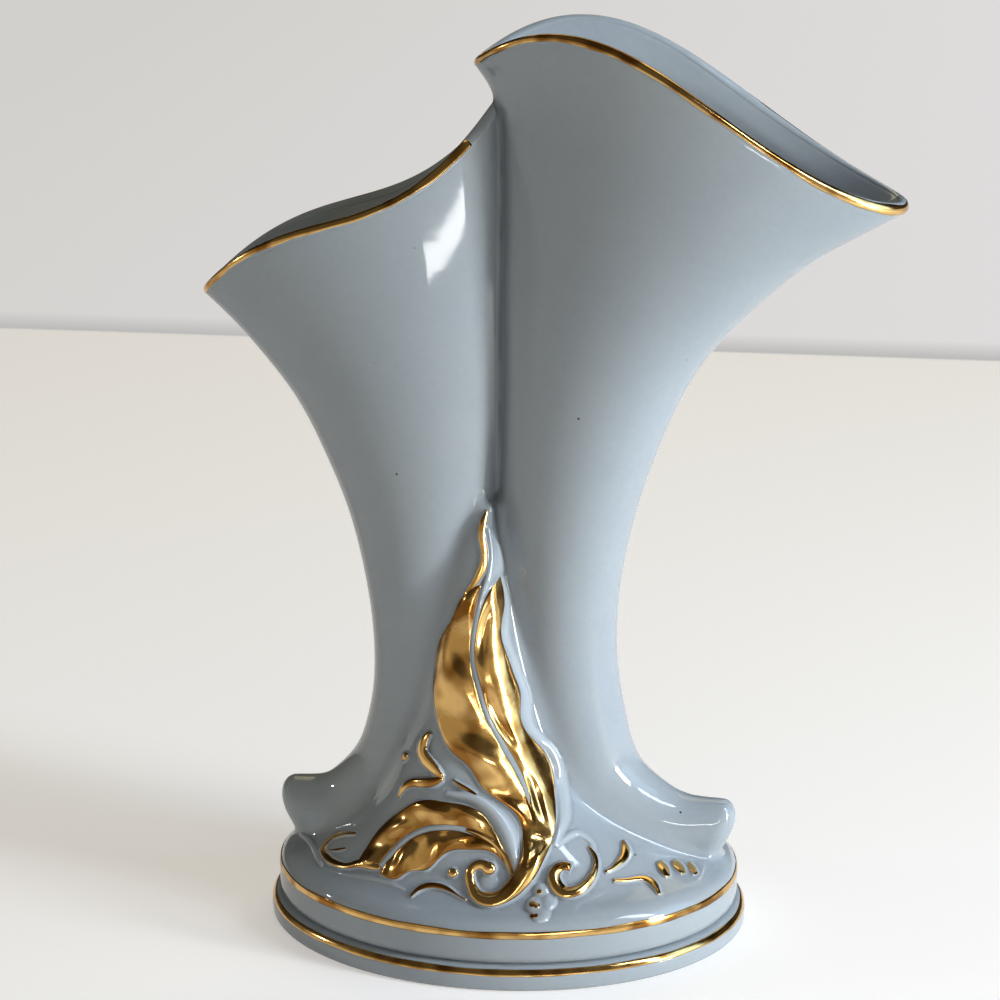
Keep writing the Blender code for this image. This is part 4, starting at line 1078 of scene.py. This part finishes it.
    def leaf(self, name):
        """The gold of a blade, from just beside the vein to just inside the outer edge.

        Low on the tall leaf it runs over the vein instead.
        """
        blade = self.blades[name]
        rows = len(blade.near)
        gap = np.full(rows, VEIN_GAP)
        if name.startswith("tall"):
            covered = np.clip((VEIN_GILT_HEIGHT - blade.near[:, 1]) / VEIN_GILT_FADE, 0, 1)
            gap -= (VEIN_GAP + VEIN_COVER) * covered
        width = np.maximum(blade.width, LEAST_BLADE)
        first = (gap + wavering(rows, BRUSH_WAVER, 1.0)) / width
        last = 1 - (EDGE_GAP + wavering(rows, BRUSH_WAVER, 2.0)) / width
        columns = max(LEAST_COLUMNS, round(blade.width.max() / GOLD_STEP))
        across = first[:, None] + (last - first)[:, None] * np.linspace(0, 1, columns)[None, :]
        return self.gilded(blade.spot(np.linspace(0, 1, rows), across))

    def pooling(self, places):
        """How far glaze gathers and shade is painted there: above zero in the relief's hollows, below zero on
        its crests.
        """
        return (self.wide.at(places) - self.over.at(places)) / POOL_DEPTH

    def bed(self):
        """The glazed relief as a closed shell on an even grid wherever the relief rises, and its places.

        Its rim is sunk by the square of how far the relief is from having risen.
        """
        places = Sheet(BED_CELL).places()
        over = self.over.at(places)
        rises = over > BED_START
        inside = rises.copy()
        inside[1:-1, 1:-1] |= rises[2:, 1:-1] | rises[:-2, 1:-1] | rises[1:-1, 2:] | rises[1:-1, :-2]
        sunk = BED_SINK * (1 - np.clip(over / BED_EASE, 0, 1))**2
        heights = self.ground.at(places) + over - sunk
        i, j = np.nonzero(inside[:-1, :-1] & inside[1:, :-1] & inside[:-1, 1:] & inside[1:, 1:])
        width = over.shape[1]
        here, next_row = i * width + j, (i + 1) * width + j
        quads = np.stack([here, next_row, next_row + 1, here + 1], axis=1)
        used, quads = np.unique(quads, return_inverse=True)
        quads = quads.reshape(-1, 4)
        used_places = places.reshape(-1, 2)[used]
        top = on_sheet(used_places, heights.ravel()[used])
        count = len(top)
        edges = np.vstack([quads[:, [n, (n + 1) % 4]] for n in range(4)])
        _, kind, uses = np.unique(np.sort(edges, axis=1), axis=0, return_inverse=True, return_counts=True)
        rim = edges[uses[kind.ravel()] == 1]
        walls = np.stack([rim[:, 1], rim[:, 0], rim[:, 0] + count, rim[:, 1] + count], axis=1)
        faces = np.vstack([quads, quads[:, ::-1] + count, walls])
        points = np.vstack([top, top - BED_THICKNESS * SHEET_OUT])
        return face_out(points, faces, np.zeros((0, 3), int)), np.vstack([used_places, used_places])


def border_table():
    """The glazed border beside the tall leaf's right blade, as a table in millimetres."""
    edge = places_through(TALL_RIGHT_EDGE, BORDER_ROWS)
    given = np.linspace(0, 1, len(BORDER_HALF_WIDTHS))
    halves = np.interp(np.linspace(0, 1, BORDER_ROWS), given, BORDER_HALF_WIDTHS)
    middle = edge[:, :2] / MM + sideways(edge) * halves[:, None]
    return np.column_stack([middle, halves])


@functools.lru_cache(maxsize=1)
def vase_relief():
    """The relief over the body, made once."""
    return Relief(vase_body(), bpy.context.scene.vase_sizes)


# Materials


def add(tree, kind, settings=None, **sockets):
    """A shader node with its settings, and its input sockets set to values or linked to outputs.

    A socket is named with underscores for spaces, or numbered after one underscore.
    """
    made = tree.nodes.new("ShaderNode" + kind)
    for name, value in (settings or {}).items():
        setattr(made, name, value)
    for name, value in sockets.items():
        numbered = name[0] == "_" and name[1:].isdigit()
        socket = made.inputs[int(name[1:]) if numbered else name.replace("_", " ")]
        if isinstance(value, bpy.types.NodeSocket):
            tree.links.new(value, socket)
        else:
            socket.default_value = value
    return made


def colour(value):
    """A colour property with its alpha."""
    return (*value, 1.0)


def new_material(name):
    """An empty node material with its Principled shader."""
    made = bpy.data.materials.get(name) or bpy.data.materials.new(name)
    made.use_nodes = True
    tree = made.node_tree
    tree.nodes.clear()
    shader = add(tree, "BsdfPrincipled")
    output = add(tree, "OutputMaterial")
    tree.links.new(shader.outputs["BSDF"], output.inputs["Surface"])
    return made, tree, shader


def mix_colour(tree, share, a, b):
    """Colour a where share is 0 and colour b where it is 1."""
    made = add(tree, "Mix", {"data_type": "RGBA"}, _0=share, _6=a, _7=b)
    return made.outputs[2]


def ramp(tree, value, low, high, start=0.0, end=1.0):
    """The value from low to high spread over start to end, and held beyond."""
    made = add(tree, "MapRange", None, Value=value, From_Min=low, From_Max=high, To_Min=start, To_Max=end)
    return made.outputs[0]


def calculated(tree, operation, first, second):
    """The outcome of an operation on two values."""
    return add(tree, "Math", {"operation": operation}, _0=first, _1=second).outputs[0]


def noise(tree, place, scale, detail, roughness=0.5):
    """Soft noise over the places, with so many waves to the metre."""
    made = add(tree, "TexNoise", None, Vector=place, Scale=scale, Detail=detail, Roughness=roughness)
    return made.outputs["Fac"]


def glaze_material():
    """Glossy pale glaze: faintly mottled, deeper where it pooled and where shade is painted, with a few iron
    specks.
    """
    found = bpy.data.materials.get("vase_glaze")
    if found:
        return found
    colours = bpy.context.scene.vase_colours
    made, tree, shader = new_material("vase_glaze")
    place = add(tree, "TexCoord").outputs["Object"]
    clouds = noise(tree, place, 28.0, 3.0, 0.55)
    grain = noise(tree, place, 620.0, 2.0, 0.6)
    mottled = ramp(tree, clouds, 0.35, 0.7)
    cloudy = mix_colour(tree, mottled, colour(colours.glaze), colour(colours.glaze_thin))
    grainy = mix_colour(tree, ramp(tree, grain, 0.3, 0.8, 0.0, 0.07), cloudy, colour(colours.glaze_pool_and_shade))
    # Pooled glaze and painted shade: darker in hollows, joins and the valley, paler on the relief's crests
    pooled = add(tree, "Attribute", {"attribute_name": "pooling"}).outputs["Fac"]
    crest = mix_colour(tree, ramp(tree, pooled, 0.0, -0.5), grainy, colour(colours.glaze_crest))
    deep = mix_colour(tree, ramp(tree, pooled, 0.0, 1.0), crest, colour(colours.glaze_pool_and_shade))
    cells = add(tree, "TexVoronoi", None, Vector=place, Scale=210.0)
    chosen = add(tree, "SeparateColor", None, Color=cells.outputs["Color"]).outputs[0]
    rare = ramp(tree, chosen, 0.93, 0.94)
    dot = ramp(tree, cells.outputs["Distance"], 0.045, 0.075, 1.0, 0.0)
    speck = calculated(tree, "MULTIPLY", rare, dot)
    shade = mix_colour(tree, speck, deep, colour(colours.speck))
    tree.links.new(shade, shader.inputs["Base Color"])
    gloss = ramp(tree, clouds, 0.3, 0.7, 0.04, 0.07)
    dulled = calculated(tree, "MAXIMUM", gloss, ramp(tree, pooled, 0.4, 0.9, 0.0, 0.45))
    tree.links.new(dulled, shader.inputs["Roughness"])
    shader.inputs["IOR"].default_value = 1.5
    ripple = noise(tree, place, 190.0, 1.0)
    bump = add(tree, "Bump", None, Strength=0.12, Distance=0.0002, Height=ripple)
    tree.links.new(bump.outputs[0], shader.inputs["Normal"])
    return made


def gold_material():
    """Bright gold over glaze: mirror-like, browner where it is thin and as painted shade in hollows, with
    soft brush strokes.
    """
    found = bpy.data.materials.get("vase_gold")
    if found:
        return found
    colours = bpy.context.scene.vase_colours
    made, tree, shader = new_material("vase_gold")
    place = add(tree, "TexCoord").outputs["Object"]
    patches = noise(tree, place, 130.0, 1.0)
    # Thin gold and painted shade: browner at the rim, in the relief's hollows and on some pieces
    thinness = add(tree, "Attribute", {"attribute_name": "thinness"}).outputs["Fac"]
    worn_and_shaded = calculated(tree, "ADD", patches, thinness)
    tone = mix_colour(tree, ramp(tree, worn_and_shaded, 0.48, 0.66), colour(colours.gold), colour(colours.gold_thin_and_shade))
    tree.links.new(tone, shader.inputs["Base Color"])
    shader.inputs["Metallic"].default_value = 1.0
    strokes = noise(tree, place, 420.0, 3.0)
    tree.links.new(ramp(tree, strokes, 0.3, 0.7, 0.10, 0.2), shader.inputs["Roughness"])
    bump = add(tree, "Bump", None, Strength=0.15, Distance=0.0002, Height=strokes)
    tree.links.new(bump.outputs[0], shader.inputs["Normal"])
    return made


def clay_material():
    """Bare fired clay of the foot ring: matt and a little gritty."""
    found = bpy.data.materials.get("vase_clay")
    if found:
        return found
    colours = bpy.context.scene.vase_colours
    made, tree, shader = new_material("vase_clay")
    place = add(tree, "TexCoord").outputs["Object"]
    grit = noise(tree, place, 900.0, 4.0)
    gritty = ramp(tree, grit, 0.3, 0.8, 0.0, 0.5)
    tone = mix_colour(tree, gritty, colour(colours.clay), colour(colours.grit))
    tree.links.new(tone, shader.inputs["Base Color"])
    shader.inputs["Roughness"].default_value = 0.85
    bump = add(tree, "Bump", None, Strength=0.4, Distance=0.0002, Height=grit)
    tree.links.new(bump.outputs[0], shader.inputs["Normal"])
    return made


def store(piece, name, values):
    """Store a value at each of a piece's points, for its material to read."""
    stored = piece.data.attributes.new(name, "FLOAT", "POINT")
    stored.data.foreach_set("value", values.astype(np.float32))


def add_pool_and_shade(piece, points, more):
    """Store how far glaze pools and shade is painted at a piece's points: in filled joins, in the valley and
    as given.
    """
    body = vase_body()
    filled = np.clip(body.filled.at(points) / FULL_POOL, 0, 1)
    high_up = np.clip((points[:, 2] - CREASE_LOW) / CREASE_FADE, 0, 1)
    # A painted shade band along the valley between the horns, together with the glaze pooled there
    valley = np.clip(1 - body.apart.at(points) / CREASE_REACH, 0, 1) * high_up
    pooled = JOIN_POOL_SHADE * filled + valley + np.where(more > 0, HOLLOW_POOL_SHADE * more, more)
    store(piece, "pooling", np.clip(pooled, -1, 1))


def band_loops(loops_at, turns, gilt):
    """Closed loops round a band: over the turns at their heights, then back beneath the surface."""
    over = [loops_at(turn, more) for turn, more in turns]
    under = [loops_at(turns[-1][0], -GILT_SINK * gilt), loops_at(turns[0][0], -GILT_SINK * gilt)]
    return np.array(over + under).transpose(1, 0, 2)


def gold_turns(start, stop, steps, gilt):
    """Turns across a line of gold, each with the gold's height there."""
    shares, heights = np.linspace(0, 1, steps), gilt * swell(steps, 0.1, 0.3)
    return [(start + (stop - start) * share, height) for share, height in zip(shares, heights)]


def uneven(count, height, *waves):
    """A closed wavering line: the sum of sines, each given as how many waves go round and where it starts."""
    angle = round_turns(count)
    return height * sum(np.sin(number * angle + start) for number, start in waves)


class VASE_OT_body(bpy.types.Operator):
    """Build the glazed body: both horns, the ground between them and the upper step"""

    bl_idname = "vase.body"
    bl_label = "Glazed Body"

    def execute(self, context):
        body = vase_body()
        shell, normals = body.mesh()
        piece = new_piece("vase_body", shell, glaze_material(), BODY_NODES, normals)
        relief = vase_relief()
        places = sheet_places(shell[0])
        on_front = np.abs(shell[0] @ SHEET_OUT - relief.ground.at(places)) < FRONT_REACH
        # Pooled glaze and painted shade in the joins, the valley and round the relief
        add_pool_and_shade(piece, shell[0], np.where(on_front, relief.pooling(places), 0.0))
        return {"FINISHED"}


class VASE_OT_lips(bpy.types.Operator):
    """Lay smooth glaze round the two lips, with its edges sunk"""

    bl_idname = "vase.lips"
    bl_label = "Lip Glaze"

    def execute(self, context):
        sizes = context.scene.vase_sizes
        shares = np.linspace(-1, 1, LIP_GLAZE_STEPS)
        turns = math.pi / 2 + LIP_GLAZE_TURN * shares
        heights = LIP_GLAZE - LIP_SINK * shares**8
        for name, stations in (("tall_lip", TALL_HORN), ("short_lip", SHORT_HORN)):
            loops = band_loops(Lip(stations, sizes).ring, list(zip(turns, heights)), sizes.gilt)
            new_piece(name, skin(loops, ring=True), glaze_material())
        return {"FINISHED"}


class VASE_OT_lower_step(bpy.types.Operator):
    """Build the foot's lower step with its bare ring"""

    bl_idname = "vase.lower_step"
    bl_label = "Lower Step"

    def execute(self, context):
        loops = lower_step_loops()
        piece = new_piece("lower_step", skin(loops), glaze_material(), ("plinth_lower",))
        piece.data.materials.append(clay_material())
        heights = np.zeros(len(piece.data.polygons) * 3, np.float32)
        piece.data.polygons.foreach_get("center", heights)
        bare = (heights[2::3] < BARE_LEVEL).astype(np.int32)
        piece.data.polygons.foreach_set("material_index", bare)
        return {"FINISHED"}


class VASE_OT_lip_gilding(bpy.types.Operator):
    """Gild the two lips"""

    bl_idname = "vase.lip_gilding"
    bl_label = "Lip Gilding"

    def execute(self, context):
        sizes = context.scene.vase_sizes
        for name, stations, end in (("tall_horn_gilding", TALL_HORN, None),
                                    ("short_horn_gilding", SHORT_HORN, SHORT_GOLD_END)):
            start = LIP_GOLD_LOW + uneven(HORN_SIDES, LIP_GOLD_WAVER, (5, 0.4), (11, 2.0), (23, 1.0))
            stop = LIP_GOLD_HIGH + uneven(HORN_SIDES, LIP_GOLD_WAVER, (4, 1.4), (13, 0.3), (19, 2.2))
            if end is None:
                angle = round_turns(HORN_SIDES)
                inside = np.minimum(angle - FAR_GOLD_START, FAR_GOLD_END - angle)
                stop = stop - FAR_GOLD_CUT * np.clip(inside / FAR_GOLD_EASE, 0, 1)
            turns = gold_turns(start, stop, LIP_GOLD_STEPS, sizes.gilt)
            loops = band_loops(Lip(stations, sizes).ring, turns, sizes.gilt)
            if end is None:
                shell = skin(loops, ring=True)
            else:
                order = np.roll(np.arange(HORN_SIDES), -1)
                shell = skin(loops[order[loops[order, 0, 0] < end]])
            new_piece(name, shell, gold_material(), (name,))
        return {"FINISHED"}


class VASE_OT_foot_gilding(bpy.types.Operator):
    """Gild the shoulders of the foot's two steps"""

    bl_idname = "vase.foot_gilding"
    bl_label = "Foot Gilding"

    def execute(self, context):
        gilt = context.scene.vase_sizes.gilt
        for name, box, shoulder, turn in (
                ("plinth_lower_gilding", LOWER_STEP, LOWER_SHOULDER, LOWER_LINE_TURN),
                ("plinth_upper_gilding", UPPER_STEP, UPPER_SHOULDER, UPPER_LINE_TURN)):
            half, top = box[1].x, box[1].z
            spread = GOLD_LINE_WIDTH / shoulder / 2
            edge, away = foot_oval(half)

            def line_at(tilt, more, edge=edge, away=away, shoulder=shoulder, top=top):
                """A ring on the shoulder: the middle of its arc, and from there out by the tilt."""
                reach = shoulder + more
                level = edge + away * (reach * np.cos(tilt) - shoulder)[:, None]
                return np.column_stack([level, top - shoulder + reach * np.sin(tilt)])

            low = turn - spread + uneven(FOOT_SIDES, LINE_WAVER, (5, 0.3), (11, 1.1), (23, 2.5))
            high = turn + spread + uneven(FOOT_SIDES, LINE_WAVER, (6, 1.9), (13, 0.2), (21, 1.3))
            loops = band_loops(line_at, gold_turns(low, high, FOOT_GOLD_STEPS, gilt), gilt)
            new_piece(name, skin(loops, ring=True), gold_material(), (name,))
        return {"FINISHED"}


def gild(*names):
    """Gold pieces of the named blades, strokes and beads.

    Each hides the CAD node of its name, but for the extra strokes, which have none.
    """
    relief = vase_relief()
    for name in names:
        if name in relief.blades:
            shell, near_rim = relief.leaf(name)
        elif name in BEADS:
            shell, near_rim = relief.gilded_disc(*BEADS[name][:3])
        else:
            shell, near_rim = relief.stroke(name)
        piece = new_piece(name, shell, gold_material(), () if name in EXTRA_STROKES else (name,))
        # Browner in the relief's hollows as painted shade, brighter on its crests, and browner on some pieces
        browner = HOLLOW_SHADE_BROWN * relief.pooling(sheet_places(shell[0])) + BROWN_PIECES.get(name, 0.0)
        store(piece, "thinness", RIM_BROWN * near_rim**2 + browner)


class VASE_OT_relief(bpy.types.Operator):
    """Build the glazed ground of the leaves and scrolls"""

    bl_idname = "vase.relief"
    bl_label = "Glazed Relief"

    def execute(self, context):
        relief = vase_relief()
        shell, places = relief.bed()
        nodes = ("tall_leaf_midrib", "tall_leaf_border", "low_leaf_midrib")
        piece = new_piece("glazed_relief", shell, glaze_material(), nodes)
        # Pooled glaze and painted shade in the relief's hollows, paler on its crests
        add_pool_and_shade(piece, shell[0], relief.pooling(places))
        return {"FINISHED"}


class VASE_OT_leaves(bpy.types.Operator):
    """Gild the two leaves' blades"""

    bl_idname = "vase.leaves"
    bl_label = "Leaf Gilding"

    def execute(self, context):
        gild(*vase_relief().blades)
        return {"FINISHED"}


class VASE_OT_strokes(bpy.types.Operator):
    """Gild the tendril, the scrolls, the sprigs, the drops and the beads"""

    bl_idname = "vase.strokes"
    bl_label = "Scroll and Sprig Gilding"

    def execute(self, context):
        gild(*STROKES, *BEADS)
        relief = vase_relief()
        new_piece("scroll_knob", relief.gilded_disc(*SCROLL_KNOB[:3])[0], gold_material())
        dabs = joined([relief.gilded_disc(*dab)[0] for dab in BUD_DABS])
        new_piece("bud", dabs, gold_material(), ("bud",))
        return {"FINISHED"}


# Stage


def table_material():
    """A pale matt table, and beyond its far edge the plain wall's colour.

    The wall, and the glow that makes the table pale, show to the camera and in mirrors but light nothing.
    """
    look = bpy.context.scene.stage_look
    made, tree, shader = new_material("stage_table")
    shader.inputs["Base Color"].default_value = colour(look.table)
    shader.inputs["Roughness"].default_value = 0.6
    shader.inputs["Specular IOR Level"].default_value = 0.3
    place = add(tree, "TexCoord").outputs["Object"]
    parts = add(tree, "SeparateXYZ", None, Vector=place)
    past_edge = add(tree, "Math", {"operation": "MULTIPLY_ADD"}, _0=parts.outputs["X"], _1=-TABLE_EDGE_SLANT,
                    _2=parts.outputs["Y"]).outputs[0]
    to_right = ramp(tree, parts.outputs["X"], WALL_LEFT, WALL_RIGHT)
    wall = mix_colour(tree, to_right, colour(look.wall), colour(look.wall_right))
    edge = ramp(tree, past_edge, TABLE_EDGE, TABLE_EDGE + EDGE_SHADOW)
    shaded = mix_colour(tree, edge, EDGE_SHADE, wall)
    far_wall = add(tree, "Emission", None, Color=shaded).outputs[0]
    rays = add(tree, "LightPath").outputs
    mirrored = calculated(tree, "MAXIMUM", rays["Is Glossy Ray"], rays["Is Transmission Ray"])
    seen = calculated(tree, "MAXIMUM", rays["Is Camera Ray"], mirrored)
    glow = add(tree, "Emission", None, Color=colour(look.table_glow), Strength=seen).outputs[0]
    table = add(tree, "AddShader", None, _0=shader.outputs["BSDF"], _1=glow).outputs[0]
    beyond = ramp(tree, past_edge, TABLE_EDGE - EDGE_BLUR, TABLE_EDGE)
    share = calculated(tree, "MULTIPLY", beyond, seen)
    blend = add(tree, "MixShader", None, _0=share, _1=table, _2=far_wall)
    output = next(node for node in tree.nodes if node.type == "OUTPUT_MATERIAL")
    tree.links.new(blend.outputs[0], output.inputs["Surface"])
    return made


def room_world(look):
    """A pale room low in front, dimmer above it and dimmer behind, by the direction's z and y."""
    world = bpy.data.worlds.new("room")
    world.use_nodes = True
    tree = world.node_tree
    parts = add(tree, "SeparateXYZ", None, Vector=add(tree, "TexCoord").outputs["Generated"])
    strength = ramp(tree, parts.outputs["Z"], 0.34, 0.44, look.room, look.air)
    in_front = ramp(tree, parts.outputs["Y"], 0.4, -0.1, look.behind, 1.0)
    total = calculated(tree, "MULTIPLY", strength, in_front)
    tree.links.new(total, tree.nodes["Background"].inputs["Strength"])
    tree.nodes["Background"].inputs["Color"].default_value = ROOM_TINT
    return world


def area_lamp(name, power, size, place, aim, tint, roll):
    """A rectangular lamp of that size and power at a place, aimed at a point and rolled about its aim."""
    data = bpy.data.lights.new(name, "AREA")
    data.shape = "RECTANGLE"
    data.size, data.size_y = size
    data.energy = power
    data.color = tint
    lamp = bpy.data.objects.new(name, data)
    lamp.location = place
    aimed = (Vector(aim) - Vector(place)).to_track_quat("-Z", "Y").to_matrix()
    lamp.rotation_euler = (aimed @ Matrix.Rotation(roll, 3, "Z")).to_euler()
    bpy.context.scene.collection.objects.link(lamp)


class VASE_OT_stage(bpy.types.Operator):
    """Set the table, the lamps and the camera"""

    bl_idname = "vase.stage"
    bl_label = "Stage"

    def execute(self, context):
        scene = context.scene
        look = scene.stage_look
        corners = ((-1, -1), (1, -1), (1, 1), (-1, 1))
        mesh = bpy.data.meshes.new("table")
        mesh.from_pydata([(x * TABLE_REACH, y * TABLE_REACH, 0) for x, y in corners], [], [(0, 1, 2, 3)])
        mesh.materials.append(table_material())
        table = bpy.data.objects.new("table", mesh)
        scene.collection.objects.link(table)
        scene.world = room_world(look)
        for name, *where in LAMPS:
            area_lamp(f"{name}_lamp", getattr(look, name), *where)
        camera = bpy.data.objects.new("camera", bpy.data.cameras.new("camera"))
        camera.data.sensor_width = SENSOR
        camera.data.lens = FOCUS_PIXELS / PICTURE_PIXELS * SENSOR
        camera.data.clip_start, camera.data.clip_end = CAMERA_NEAREST, CAMERA_FARTHEST
        turn, rise = CAMERA_TURN, CAMERA_RISE
        right = Vector((math.cos(turn), math.sin(turn), 0.0))
        back = Vector((math.sin(turn) * math.cos(rise), -math.cos(turn) * math.cos(rise), math.sin(rise)))
        up = back.cross(right)
        camera.matrix_world = Matrix((right, up, back)).transposed().to_4x4()
        camera.location = CAMERA_TARGET + back * CAMERA_DISTANCE
        scene.collection.objects.link(camera)
        scene.camera = camera
        scene.view_settings.view_transform = "Standard"
        return {"FINISHED"}


PIECE_OPERATORS = (
    VASE_OT_body, VASE_OT_lips, VASE_OT_lower_step, VASE_OT_lip_gilding, VASE_OT_foot_gilding,
    VASE_OT_relief, VASE_OT_leaves, VASE_OT_strokes,
)


class VASE_PT_panel(bpy.types.Panel):
    """Sizes, colours and building steps of the vase"""

    bl_idname = "VASE_PT_panel"
    bl_label = "Double Vase"
    bl_space_type = "VIEW_3D"
    bl_region_type = "UI"
    bl_category = "Vase"

    def draw(self, context):
        for settings in (context.scene.vase_sizes, context.scene.vase_colours, context.scene.stage_look):
            box = self.layout.box()
            for name in settings.__annotations__:
                box.prop(settings, name)
        for operator in (*PIECE_OPERATORS, VASE_OT_stage):
            self.layout.operator(operator.bl_idname)


SETTINGS = {"vase_sizes": VaseSizes, "vase_colours": VaseColours, "stage_look": StageLook}
CLASSES = (*SETTINGS.values(), *PIECE_OPERATORS, VASE_OT_stage, VASE_PT_panel)


def register():
    for item in CLASSES:
        bpy.utils.register_class(item)
    for name, group in SETTINGS.items():
        setattr(bpy.types.Scene, name, PointerProperty(type=group))


def unregister():
    for name in SETTINGS:
        delattr(bpy.types.Scene, name)
    for item in reversed(CLASSES):
        bpy.utils.unregister_class(item)


def main():
    """Builds every piece and the stage."""
    register()
    for operator in (*PIECE_OPERATORS, VASE_OT_stage):
        group, name = operator.bl_idname.split(".")
        getattr(getattr(bpy.ops, group), name)()


if __name__ == "__main__":
    main()
